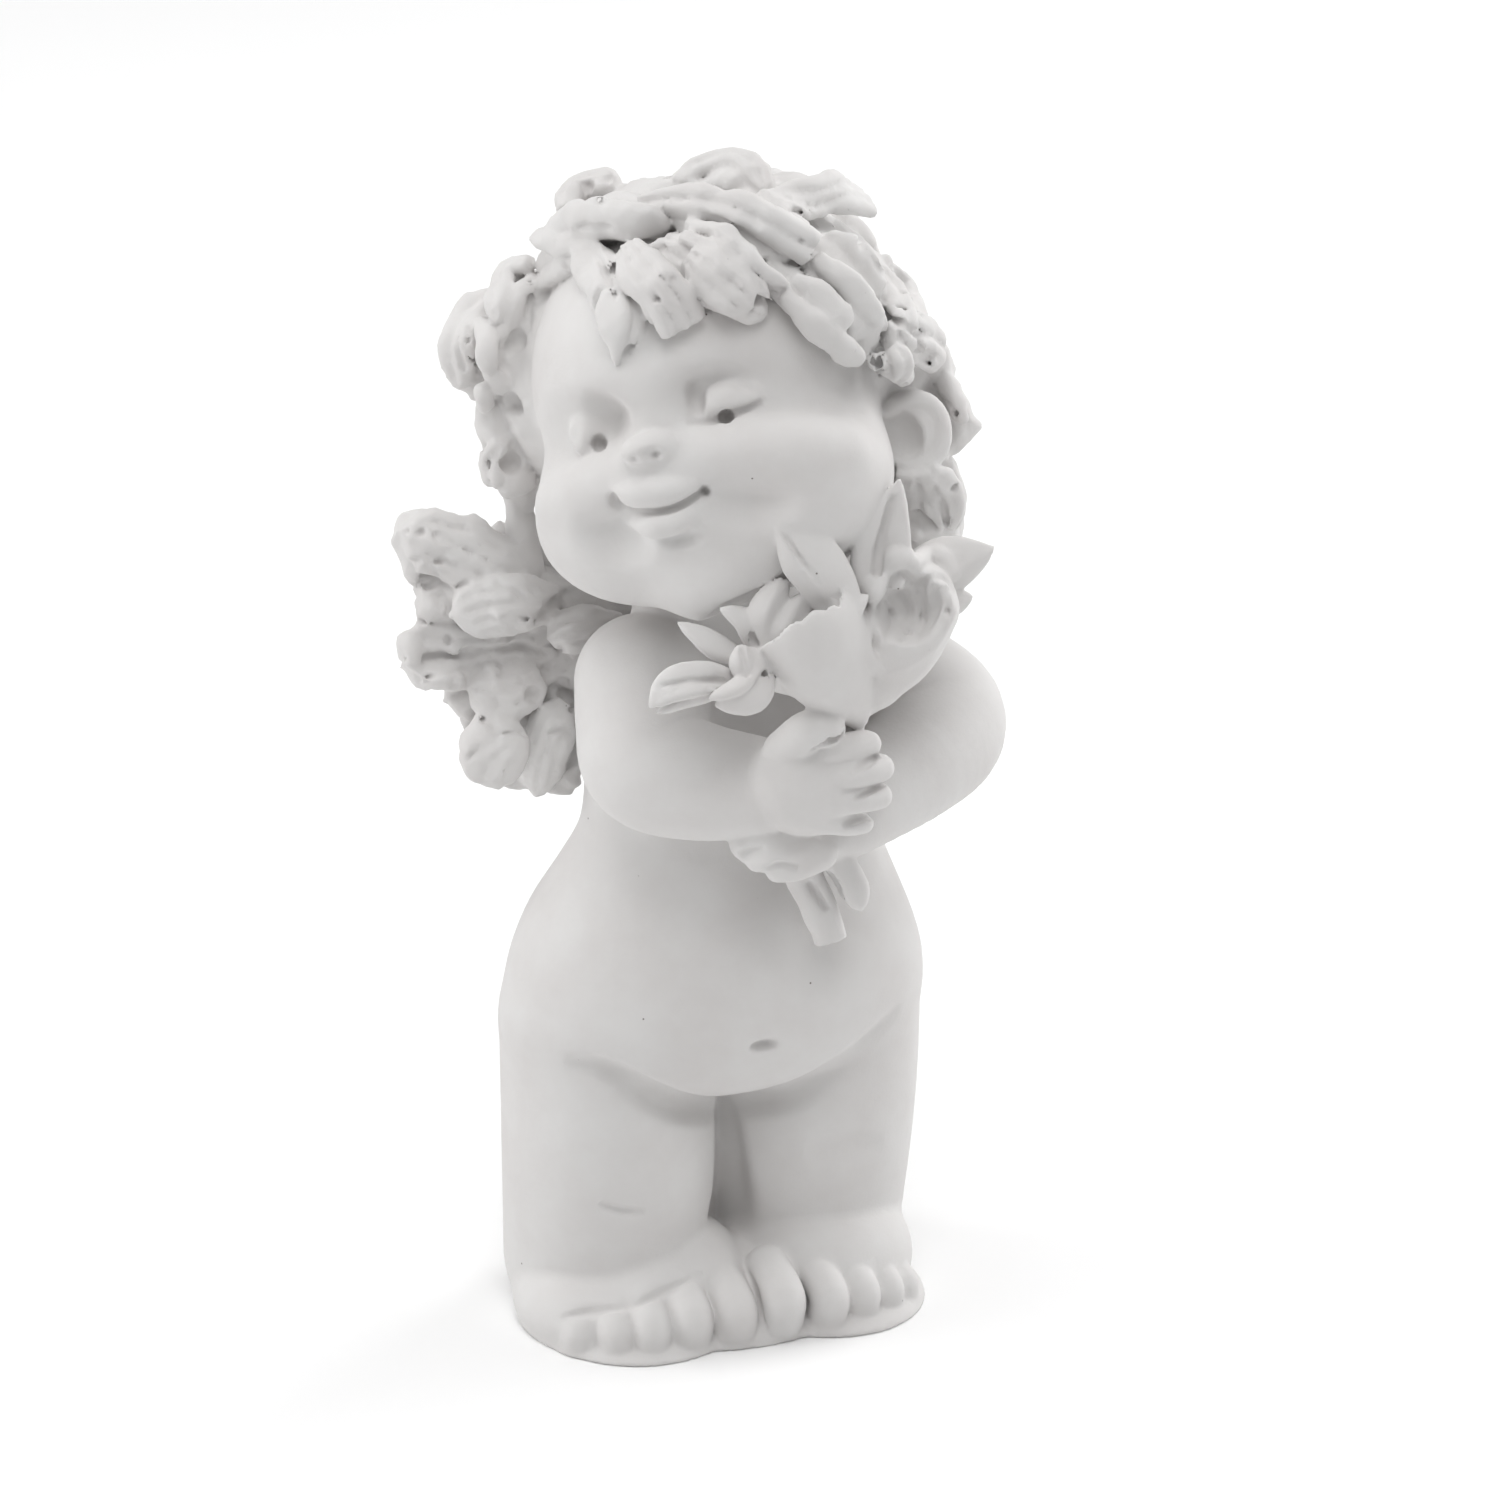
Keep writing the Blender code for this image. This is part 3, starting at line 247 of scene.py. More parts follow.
TRESSES = [
    ([(-84, 46, 0.4), (-70, 60, 1.0), (-24, 70, 1.6), (16, 62, 1.2)], 2.9, 2.0, "round"),
    ([(-82, 42, 0.2), (-58, 54, 0.2), (-22, 56, 0.4)], 2.2, 1.2, "point"),
    ([(-26, 58, 0.2), (-8, 46, 0.8), (-2, 33, 0.8), (-4, 18, -0.4)], 2.0, 1.3, "round"),
    ([(-4, 56, 0.6), (9, 43, 1.2), (15, 27, 0.8)], 2.5, 1.5, "round"),
    ([(16, 54, 0.8), (31, 39, 1.2), (39, 26, 0.6), (43, 20, -0.1)], 3.1, 1.6, "point"),
    ([(30, 54, 1.0), (43, 37, 1.8), (50, 22, 1.0)], 1.7, 1.2, "point"),
    ([(10, 72, 0.6), (42, 62, 1.4), (60, 45, 1.6), (68, 31, 1.8)], 3.0, 1.9, "round"),
    ([(-80, 62, 0.4), (-100, 66, 1.4), (-118, 72, 0.8)], 2.4, 1.5, "round"),
    ([(-60, 74, 0.4), (-90, 80, 1.1), (-140, 78, 0.8)], 2.2, 1.4, "round"),
    ([(-60, 74, 0.4), (-40, 84, 0.8), (63, 82, 0.8), (88, 66, 0.6)], 3.0, 1.6, "point"),
    ([(150, 76, 0.0), (120, 70, 1.2), (82, 58, 1.2)], 3.0, 1.8, "round"),
    ([(70, 58, 0.2), (90, 52, 1.4), (98, 44, 2.6)], 3.0, 1.2, "round"),
    ([(50, 34, 0.6), (58, 16, 0.6), (65, -2, 0.0)], 2.6, 1.4, "point"),
    ([(62, 30, 1.0), (71, 15, 1.2), (78, 1, 0.8)], 1.7, 1.2, "point"),
    ([(74, 38, -0.8), (83, 22, -0.6), (88, 6, -0.4)], 3.6, 1.4, "round"),
    ([(90, 24, -1.2), (98, 4, -0.8), (100, -12, 0.6)], 3.6, 1.6, "point"),
    ([(78, 0, 0.8), (90, -5, 1.8), (99, -12, 2.4)], 2.8, 1.7, "round"),
    ([(70, -4, 0.2), (78, -9, 1.2), (84, -14, 0.8)], 1.5, 1.1, "round"),
    ([(112, -16, 0.6), (104, -22, 3.6), (98, -28, 6.4)], 2.8, 1.3, "point"),
    ([(-84, 44, -2.0), (-86, 32, -0.2), (-86, 20, 4.2), (-84, 6, 4.6)], 4.0, 2.4, "round"),
    ([(-79, 42, 0.4), (-76, 32, 1.6), (-74, 20, 2.2), (-70, 9, 1.0)], 2.5, 1.7, "round"),
    ([(-82, 10, 1.6), (-80, 0, 2.8), (-78, -8, 2.6)], 2.6, 2.4, "round"),
    ([(-80, -4, 1.4), (-80, -12, 3.4), (-78, -19, 3.8)], 2.6, 2.2, "round"),
    ([(-92, -16, 1.6), (-94, -30, 3.4), (-92, -42, 3.8)], 3.2, 2.4, "round"),
]
# Locks over the tresses: courses by pixel of the photograph with a lift, half width, half thickness,
# ending, strands and roll in degrees
LOCKS = [
    ([(545, 240, 0.2), (575, 225, 0.6), (610, 219, 0.9), (645, 223, 0.8),
      (665, 233, 0.3)], 2.1, 1.2, "round", 1, 28),
    ([(536, 236, 0.2), (556, 240, 0.4), (580, 244, 0.4), (604, 248, 0.2)], 1.5, 0.8, "point", 1, -10),
    ([(580, 250, 0.3), (594, 275, 0.6), (608, 301, 0.9)], 1.7, 0.9, "square", 1, 0),
    ([(612, 292, 0.3), (616, 325, 0.5), (618, 366, 0.3)], 1.8, 0.8, "point", 1, 15),
    ([(634, 248, 0.4), (650, 274, 0.9), (668, 295, 1.1), (678, 321, 1.0)], 2.3, 1.2, "square", 3, 0),
    ([(622, 262, 0.2), (630, 282, 0.5), (648, 302, 0.6), (656, 326, 0.4)], 0.8, 0.9, "point", 1, 0),
    ([(690, 256, 0.2), (718, 281, 0.6), (752, 308, 0.5)], 2.3, 1.1, "round", 3, 12),
    ([(684, 240, 0.3), (716, 258, 0.8), (748, 283, 0.9), (778, 300, 0.6)], 1.2, 1.0, "point", 2, 0),
    ([(690, 226, 0.3), (728, 243, 0.8), (758, 268, 0.9), (786, 289, 0.6)], 1.0, 1.0, "point", 1, -10),
    ([(640, 205, 0.2), (680, 203, 0.3), (725, 210, 0.6), (765, 225, 0.8),
      (806, 247, 1.0)], 1.8, 1.2, "square", 2, 15),
    ([(735, 233, 0.1), (765, 250, 0.3), (792, 265, 0.3)], 0.9, 0.8, "point", 1, 0),
    ([(826, 240, 0.3), (850, 264, 0.3), (878, 300, 0.1)], 2.4, 0.9, "round", 2, 30),
    ([(814, 260, 0.4), (844, 286, 0.8), (868, 308, 0.8), (881, 333, 0.4)], 1.5, 0.9, "point", 1, 15),
    ([(792, 280, 0.3), (813, 296, 0.7), (829, 314, 0.8), (838, 335, 0.4)], 1.6, 0.9, "round", 1, 15),
    ([(784, 294, 0.2), (812, 322, 0.4), (840, 345, 0.4), (858, 366, 0.2)], 1.5, 0.8, "round", 1, 10),
    ([(836, 312, 0.3), (856, 332, 0.5), (866, 360, 0.4)], 1.6, 0.9, "round", 1, 0),
    ([(866, 262, 0.1), (890, 290, 0.3), (906, 325, 0.3), (912, 352, 0.2)], 1.6, 0.8, "point", 2, 0),
    ([(884, 262, 0.1), (906, 292, 0.3), (924, 330, 0.3), (934, 372, 0.3)], 1.3, 0.7, "round", 2, 0),
    ([(892, 350, 0.3), (899, 364, 0.6), (892, 384, 0.4)], 1.2, 0.9, "round", 2, 0),
    ([(904, 470, 0.2), (908, 500, 0.4), (917, 540, 0.3)], 1.2, 0.8, "round", 2, 0),
    ([(916, 470, 0.2), (924, 496, 0.5), (940, 528, 0.4)], 1.3, 0.8, "point", 2, 0),
    ([(765, 200, 0.2), (800, 200, 0.4), (835, 204, 0.5), (860, 213, 0.5)], 2.1, 0.8, "square", 3, 0),
    ([(676, 184, 0.1), (702, 170, 0.4), (730, 164, 0.5), (754, 174, 0.5),
      (768, 196, 0.2)], 1.4, 0.9, "round", 2, 0),
    ([(567, 212, 0.1), (577, 196, 0.3), (596, 188, 0.3), (616, 190, 0.2)], 1.9, 1.4, "round", 2, 0),
    ([(532, 262, 0.2), (512, 276, 0.4), (502, 298, 0.5), (498, 326, 0.3)], 1.4, 0.9, "round", 2, 0),
    ([(498, 298, 0.2), (477, 316, 0.4), (461, 344, 0.4), (463, 386, 0.3)], 2.4, 1.2, "round", 2, 0),
    ([(484, 322, 0.2), (490, 344, 0.5), (492, 374, 0.4)], 1.1, 0.9, "round", 1, 0),
    ([(928, 466, 0.2), (944, 490, 0.4), (950, 530, 0.3)], 1.5, 0.7, "round", 2, 0),
    ([(948, 462, 0.1), (956, 490, 0.3), (956, 528, 0.2)], 0.9, 0.6, "round", 1, 0),
    ([(488, 384, 0.3), (488, 398, 0.6), (489, 412, 0.4)], 1.0, 1.0, "round", 1, 0),
    ([(500, 440, 0.1), (496, 464, 0.4), (499, 488, 0.3)], 1.4, 0.9, "round", 2, 0),
]
LOCK_SQUARENESS, LOCK_LEAN, LOCK_STEEPNESS = 3.0, 0.5, 1.3
# Gaps between locks, pits and fine grooves along the strands, by pixel of the photograph
GAPS = [
    ([(572, 255), (586, 248), (602, 250), (618, 247), (642, 246), (670, 243)], 0.45, 1.3),
    ([(606, 252), (612, 270), (620, 287)], 0.35, 0.9), ([(632, 290), (642, 300), (650, 314)], 0.45, 1.1),
    ([(633, 318), (631, 340), (627, 358)], 0.35, 0.8), ([(662, 322), (680, 320), (694, 322)], 0.5, 1.0),
    ([(696, 285), (700, 302), (714, 314), (736, 321), (756, 321)], 0.35, 0.8),
    ([(712, 254), (738, 275), (758, 291)], 0.35, 0.8), ([(766, 288), (777, 294)], 0.45, 1.0),
    ([(738, 225), (760, 239), (788, 255)], 0.45, 1.1), ([(798, 266), (812, 284), (830, 300)], 0.4, 0.9),
    ([(822, 266), (844, 288), (870, 311)], 0.35, 0.5), ([(834, 302), (837, 330), (841, 346)], 0.35, 0.6),
    ([(562, 262), (578, 280), (594, 300)], 0.35, 0.4), ([(479, 330), (480, 360), (485, 378)], 0.3, 0.6),
    ([(529, 280), (532, 300), (527, 330)], 0.5, 0.9), ([(880, 350), (878, 362), (880, 376)], 0.7, 1.4),
    ([(903, 366), (905, 386)], 0.4, 0.8), ([(662, 200), (695, 194), (727, 200)], 0.5, 0.5)]
HAIR_PITS = [
    (587, 186, 0.7), (608, 178, 0.5), (727, 187, 0.6), (801, 241, 0.4), (658, 299, 0.45), (672, 279, 0.35),
    (756, 299, 0.4), (515, 340, 1.0), (505, 366, 0.8), (879, 356, 0.9), (954, 488, 0.6), (914, 520, 1.0),
    (514, 404, 1.3), (510, 462, 1.2)]
HAIR_STRANDS = [
    [(884, 274), (902, 292), (924, 320)], [(880, 290), (898, 306), (927, 338)],
    [(890, 262), (909, 286), (929, 318)], [(886, 314), (906, 326), (934, 348)],
    [(908, 350), (926, 360), (940, 374)], [(896, 340), (918, 346), (940, 360)],
    [(914, 474), (919, 500), (924, 534)], [(932, 480), (944, 508), (950, 540)],
    [(942, 398), (954, 412), (968, 424)], [(462, 330), (458, 350), (466, 376)],
    [(470, 322), (468, 344), (478, 372)], [(484, 446), (489, 466), (492, 490)],
    [(585, 196), (600, 199), (620, 204)], [(600, 262), (610, 280), (616, 298)],
    [(700, 216), (730, 224), (760, 240)], [(770, 208), (800, 212), (836, 220)],
    [(836, 226), (862, 244), (884, 272)], [(560, 232), (590, 226), (624, 229)]]
STRAND_DEPTH, STRAND_WIDTH = 0.4, 1.2
STRAND_GROOVE_RADIUS, STRAND_GROOVE_DEPTH = 0.35, 0.45
# Rows of locks behind: rise, count, first and last bearing and lift
BACK_ROWS = [
    (62, 4, 140, 240, 0.4), (40, 6, 134, 252, 0.6), (16, 7, 132, 254, 0.8), (-8, 7, 130, 252, 1.4),
    (-30, 6, 124, 246, 4.4)]
BACK_LOCK_DROP, BACK_LOCK_SWING = 30, 9
BACK_LOCK_WIDTH, BACK_LOCK_THICKNESS, BACK_LOCK_STRANDS = 4.0, 2.2, 3

# Wings: the right one's pads and feathers, which the left one mirrors, then by pixel of the photograph its short
# feathers, grooves, lobes and pits
WING_PADS = [((-14.0, 10.5, 67.0), (9.0, 2.2, 8.0), -12), ((-8.0, 9.0, 66.5), (5.5, 3.4, 7.0), 0)]
LONG_FEATHERS = [
    ([(-13.5, 9.0, 71.6), (-20.3, 11.0, 77.0), (-28.2, 12.6, 80.6)], 3.6),
    ([(-13.5, 9.4, 70.7), (-22.1, 11.5, 74.2), (-26.6, 12.8, 74.6)], 3.2),
    ([(-13.5, 9.4, 69.3), (-21.7, 11.5, 70.0), (-27.0, 12.6, 69.9)], 3.0),
    ([(-13.5, 9.0, 67.9), (-21.8, 11.3, 67.0), (-28.6, 12.6, 66.2)], 3.0),
    ([(-13.5, 9.0, 65.8), (-19.6, 11.2, 63.8), (-24.2, 12.2, 62.1)], 3.0),
    ([(-12.4, 9.0, 63.4), (-18.6, 10.8, 59.8), (-21.2, 11.6, 57.0)], 3.2),
    ([(-11.8, 9.0, 62.1), (-16.7, 10.3, 57.2), (-19.3, 10.8, 53.0)], 3.4),
    ([(-11.3, 9.0, 59.7), (-13.6, 9.8, 55.2), (-14.9, 10.2, 52.0)], 3.4)]
SHORT_FEATHERS = [
    ([(556, 600, 0.4), (515, 600, 1.0), (480, 607, 1.2), (450, 612, 0.8)], 3.1),
    ([(618, 622, 0.6), (585, 628, 1.6), (543, 632, 2.0)], 2.2),
    ([(540, 672, 0.4), (505, 682, 1.2), (468, 688, 1.4)], 3.2),
    ([(566, 700, 0.6), (548, 735, 1.4), (540, 788, 1.2)], 2.6)]
FEATHER_GROOVES = [
    ([(484, 606), (498, 604), (512, 603)], 0.35, 0.21), ([(476, 622), (490, 620), (504, 618)], 0.35, 0.3),
    ([(480, 635), (492, 633), (504, 629)], 0.35, 0.3), ([(494, 581), (512, 590), (530, 602)], 0.35, 0.24),
    ([(506, 612), (524, 618), (542, 630)], 0.35, 0.21), ([(520, 582), (534, 592)], 0.35, 0.18),
    ([(566, 594), (552, 608), (536, 622)], 0.9, 0.96), ([(552, 640), (575, 632), (606, 628)], 0.35, 0.18),
    ([(552, 626), (572, 620), (592, 622)], 0.35, 0.15), ([(430, 562), (442, 560), (452, 566)], 0.5, 0.42),
    ([(428, 562), (434, 572), (441, 578)], 0.35, 0.3), ([(442, 590), (450, 610), (449, 640)], 0.45, 0.48),
    ([(398, 562), (420, 560), (450, 552), (480, 548)], 0.35, 0.24),
    ([(412, 585), (440, 586), (470, 584)], 0.35, 0.24), ([(418, 620), (436, 622), (450, 624)], 0.35, 0.21),
    ([(404, 660), (440, 655), (480, 650), (510, 646)], 0.4, 0.36),
    ([(418, 680), (440, 674), (466, 668)], 0.35, 0.24), ([(452, 690), (455, 684), (452, 680)], 0.4, 0.36),
    ([(474, 712), (484, 720), (496, 726)], 0.4, 0.42), ([(497, 735), (506, 733), (516, 731)], 0.35, 0.48),
    ([(549, 733), (561, 731), (573, 730)], 0.35, 0.48), ([(560, 690), (567, 698), (572, 710)], 0.8, 0.96),
    ([(500, 650), (520, 645), (545, 652)], 0.6, 0.54), ([(560, 648), (568, 658)], 0.6, 0.6),
    ([(580, 644), (602, 636)], 0.6, 0.54), ([(480, 780), (492, 760), (510, 745)], 0.35, 0.18),
    ([(500, 786), (512, 765), (522, 748)], 0.35, 0.18), ([(466, 760), (480, 748), (496, 742)], 0.35, 0.18),
    ([(520, 678), (528, 686)], 0.35, 0.24), ([(478, 664), (490, 684), (500, 706)], 0.35, 0.15)]
WING_LOBES = [
    ((419, 537, 5.4), (2.6, 2.8, 1.6)), ((411, 650, 4.6), (1.4, 2.0, 1.5)), ((412, 570, 5.0), (0.9, 1.3, 1.3)),
    ((494, 750, 3.2), (3.6, 3.9, 1.9)), ((428, 606, 4.6), (1.5, 2.2, 1.6)), ((444, 678, 4.2), (2.0, 1.0, 1.5))]
WING_PITS = [
    (533, 694, 0.9), (438, 562, 0.4), (523, 732, 0.4), (408, 531, 0.4), (422, 532, 0.4), (436, 535, 0.4),
    (566, 682, 0.5), (448, 640, 0.5), (455, 688, 0.4), (440, 604, 0.3), (500, 665, 0.3), (545, 668, 0.4)]
LONG_FEATHER_THICKNESS, SHORT_FEATHER_THICKNESS = 1.6, 1.6
WING_FACE = (-0.3, -1.0, 0.4)
FEATHER_STRANDS, LONG_STRAND_DEPTH, SHORT_STRAND_DEPTH = 4, 0.3, 0.25
FEATHER_RAGGED, FEATHER_ROLL = 0.08, 14
BACK_FEATHERS = [
    ([(-8.0, 11.6, 72.0), (-14.0, 13.2, 75.0), (-20.0, 14.2, 77.0)], 4.0),
    ([(-8.0, 11.6, 69.0), (-14.5, 13.4, 69.5), (-20.5, 14.4, 69.6)], 4.0),
    ([(-8.0, 11.6, 66.0), (-14.0, 13.2, 64.6), (-19.5, 14.0, 63.2)], 4.0),
    ([(-7.5, 11.2, 63.0), (-12.0, 12.4, 60.0), (-15.8, 13.0, 57.0)], 4.0)]

# Lilies by pixel of the photograph, each place with how near it stands to the camera: funnels with radii,
# then hollows, petal halves with half width, half thickness and roll, rims and wrinkles
BELL = [(860, 704, 20.6, 1.5), (878, 676, 21.4, 2.9), (898, 642, 22.5, 4.1), (911, 606, 23.8, 4.6)]
BELL_MOUTH = ((911, 610, 28.8), (4.0, 3.7, 5.0))
TRUMPET = [
    (857, 716, 21.6, 1.2), (848, 700, 22.5, 2.3), (831, 672, 24.3, 4.1), (815, 642, 26.0, 5.2),
    (803, 617, 27.0, 5.6)]
TRUMPET_RIM = ((716, 510, 27.0), (14.0, 14.0, 14.0))
TRUMPET_HOLLOW = [(842, 690, 23.0, 1.0), (824, 658, 25.0, 3.0), (806, 627, 26.8, 4.4), (796, 602, 27.8, 5.0)]
STAR_HEART = [((756, 668, 25.4), (2.6, 2.2, 2.4)), ((790, 676, 23.6), (3.0, 1.8, 2.2))]
BUD = [[(748, 676, 28.2, 1.0), (742, 664, 29.2, 1.2), (742, 653, 29.2, 0.8)],
       [(758, 674, 27.8, 0.9), (755, 664, 28.4, 1.1), (751, 654, 28.6, 0.7)]]
PETALS = [
    ([(846, 616, 27.6), (820, 583, 29.7), (797, 552, 31.2), (779, 524, 32.1)], 1.9, 0.6, 4),
    ([(880, 590, 25.0), (880, 545, 26.4), (898, 484, 28.4)], 1.3, 0.55, 0),
    ([(838, 624, 28.2), (810, 586, 30.3), (789, 557, 31.7), (778, 520, 32.4)], 1.35, 0.75, -35),
    ([(851, 610, 28.4), (832, 581, 30.0), (810, 549, 31.4), (779, 521, 32.2)], 2.5, 0.8, 12),
    ([(866, 594, 26.0), (867, 545, 27.6), (899, 480, 29.0)], 1.5, 0.7, 22),
    ([(896, 588, 26.0), (896, 540, 27.4), (900, 480, 28.8)], 1.6, 0.7, -22),
    ([(902, 576, 21.8), (940, 554, 22.4), (994, 547, 22.8)], 1.7, 0.7, -12),
    ([(924, 592, 21.4), (956, 578, 22.2), (993, 550, 23.0)], 1.5, 0.7, 42),
    ([(936, 614, 20.4), (955, 602, 21.2), (973, 596, 21.8)], 1.3, 0.7, 15),
    ([(876, 602, 26.0), (870, 588, 26.8), (871, 573, 27.2)], 0.95, 0.7, -20),
    ([(842, 628, 28.2), (854, 608, 28.4), (869, 594, 28.4)], 1.0, 0.6, -25),
    ([(842, 630, 28.6), (828, 608, 29.4), (815, 590, 29.6)], 1.3, 0.6, -35),
    ([(734, 678, 27.6), (700, 673, 29.2), (666, 683, 30.0), (648, 708, 29.8)], 1.3, 0.65, 18),
    ([(732, 684, 28.0), (700, 688, 29.6), (672, 696, 30.2), (648, 709, 29.8)], 0.95, 0.6, 48),
    ([(728, 690, 27.0), (695, 697, 28.6), (654, 714, 29.0)], 0.9, 0.7, -30),
    ([(740, 658, 26.6), (712, 644, 27.4), (677, 622, 27.6)], 1.35, 0.65, 20),
    ([(756, 648, 27.0), (746, 622, 28.0), (718, 607, 28.4)], 1.3, 0.6, 10),
    ([(762, 656, 27.0), (760, 613, 28.6), (783, 576, 29.4)], 1.4, 0.6, -25),
    ([(768, 655, 27.0), (774, 613, 28.6), (789, 577, 29.4)], 1.3, 0.6, 25),
    ([(773, 660, 27.4), (781, 624, 28.8), (807, 590, 29.4)], 1.3, 0.6, -20),
    ([(780, 660, 27.4), (793, 628, 28.6), (812, 594, 29.2)], 1.3, 0.6, 20),
    ([(778, 664, 27.6), (792, 638, 28.4), (814, 616, 28.8)], 1.0, 0.6, -40),
    ([(768, 672, 27.6), (748, 694, 29.0), (714, 706, 29.8)], 2.1, 0.9, -12),
    ([(760, 666, 28.8), (736, 687, 30.2), (707, 700, 30.2)], 0.95, 0.6, 45)]
PETAL_SQUARENESS = 2.4
LILY_RIDGES = [
    ([(875, 592, 1.0, 0.8), (884, 568, 1.1, 1.1), (900, 556, 1.1, 1.0), (914, 563, 0.8, 0.6)], 0.3),
    ([(915, 564, 0.8, 0.6), (926, 556, 1.1, 1.0), (941, 558, 1.1, 1.0), (951, 573, 0.9, 0.7)], 0.3),
    ([(868, 612, 0.7, 0.3), (868, 648, 0.8, 0.4), (882, 670, 0.8, 0.4), (906, 664, 0.8, 0.4),
      (936, 642, 0.8, 0.4), (952, 612, 0.7, 0.3)], 0.5),
    ([(929, 580, 0.4, 0.4), (930, 594, 0.4, 0.4), (932, 606, 0.3, 0.2)], 0.2)]
LILY_GROOVES = [
    ([(880, 604, 0.4, 0.3), (889, 584, 0.4, 0.4), (901, 573, 0.4, 0.4), (913, 581, 0.4, 0.4)], 0.2),
    ([(915, 584, 0.4, 0.4), (932, 578, 0.4, 0.4), (946, 578, 0.4, 0.4), (953, 590, 0.4, 0.3)], 0.2),
    ([(888, 600, 0.35, 0.3), (893, 618, 0.4, 0.4), (886, 640, 0.35, 0.3)], 0.2),
    ([(904, 592, 0.35, 0.3), (911, 612, 0.4, 0.4), (903, 640, 0.35, 0.3)], 0.2),
    ([(917, 592, 0.3, 0.3), (924, 616, 0.4, 0.4), (916, 638, 0.35, 0.3)], 0.2),
    ([(943, 586, 0.4, 0.3), (947, 606, 0.45, 0.5), (940, 630, 0.35, 0.3)], 0.2),
    ([(784, 533, 0.3, 0.35), (802, 561, 0.35, 0.5), (838, 602, 0.35, 0.5)], 0.15),
    ([(893, 498, 0.35, 0.4), (883, 530, 0.45, 0.8), (876, 572, 0.5, 0.9)], 0.25),
    ([(660, 686, 0.25, 0.2), (695, 680, 0.3, 0.35), (728, 682, 0.3, 0.4)], 0.15),
    ([(742, 648, 0.25, 0.25), (744, 662, 0.3, 0.4), (747, 676, 0.3, 0.4)], 0.15),
    ([(765, 672, 0.45, 0.9), (767, 676, 0.4, 0.9)], 0.2), ([(751, 636, 0.4, 0.6), (754, 644, 0.4, 0.6)], 0.2)]
BELL_PITS = [(950, 592, 0.35), (948, 611, 0.35), (922, 617, 0.35), (908, 633, 0.4), (890, 611, 0.35)]

# Camera: its turn to the figure's right, its rise and its distance in modules
CAMERA_TURN, CAMERA_RISE, CAMERA_DISTANCE = 20.0, 22.0, 620.0
CAMERA_AIM = Vector((3.9, 0.0, 57.6))
SENSOR, LENS = 36.0, 148.8
PIXELS_PER_MODULE, IMAGE_CENTRE = 10.0, 750.0
TOWARDS_CAMERA = (Matrix.Rotation(math.radians(-CAMERA_TURN), 3, "Z")
                  @ Matrix.Rotation(math.radians(-CAMERA_RISE), 3, "X") @ Vector((0, -1, 0)))
IMAGE_RIGHT = TOWARDS_CAMERA.cross(Vector((0, 0, -1))).normalized()
IMAGE_UP = TOWARDS_CAMERA.cross(IMAGE_RIGHT)
CAMERA_FRAME = Matrix((IMAGE_RIGHT, IMAGE_UP, TOWARDS_CAMERA)).transposed().to_4x4()

# Lamps: turn from the camera towards the right, rise, distance and size in metres, and power in watts
LAMPS = [("top", 0.0, 89.0, 1.6, 1.6, 17.0), ("front top", 0.0, 55.0, 1.2, 0.8, 4.8),
         ("left", -90.0, 20.0, 0.9, 0.6, 3.8), ("left back", -130.0, 20.0, 0.9, 0.6, 0.6),
         ("right", 90.0, 20.0, 0.9, 0.6, 1.4), ("right back", 130.0, 20.0, 0.9, 0.6, 4.5)]
SURROUND_STRENGTH, FLOOR_REACH = 0.1, 3
FLOOR_COLOUR, FLOOR_ROUGHNESS = (0.93, 0.93, 0.93, 1), 0.9

# Plaster: its darker and lighter tone, the painted shade that darkens its pinholes, and the distances over which a
# pinhole's edge rises
PLASTER_TONES = ((0.635, 0.617, 0.608, 1), (0.685, 0.676, 0.668, 1))
TONE_EDGES = (0.3, 0.7)
# The pinholes are not cut into the surface: each is a dark dot of painted shade that stands in for the shadow in
# its pit
PINHOLE_PAINTED_SHADE, PINHOLE_SHADE_EDGE = (0.16, 0.14, 0.13, 1), (0.012, 0.026)
PLASTER_ROUGHNESS = (0.78, 0.95)
# How fine its clouds, grain and pinholes are, how rough the noise is, and the strength and depth of their relief
CLOUD_SCALE, GRAIN_SCALE, PINHOLE_SCALE = 110.0, 2600.0, 190.0
CLOUD_DETAIL, GRAIN_DETAIL = 0.6, 0.65
CLOUD_RELIEF, GRAIN_RELIEF = (0.25, 0.0002), (0.35, 0.00006)


def sighted(x, y, near):
    """The place under a pixel of the photograph, as near to the camera as told, counted from its aim."""
    across = (IMAGE_RIGHT * (x - IMAGE_CENTRE) + IMAGE_UP * (IMAGE_CENTRE - y)) / PIXELS_PER_MODULE
    return CAMERA_AIM + across * (1 - near / CAMERA_DISTANCE) + TOWARDS_CAMERA * near


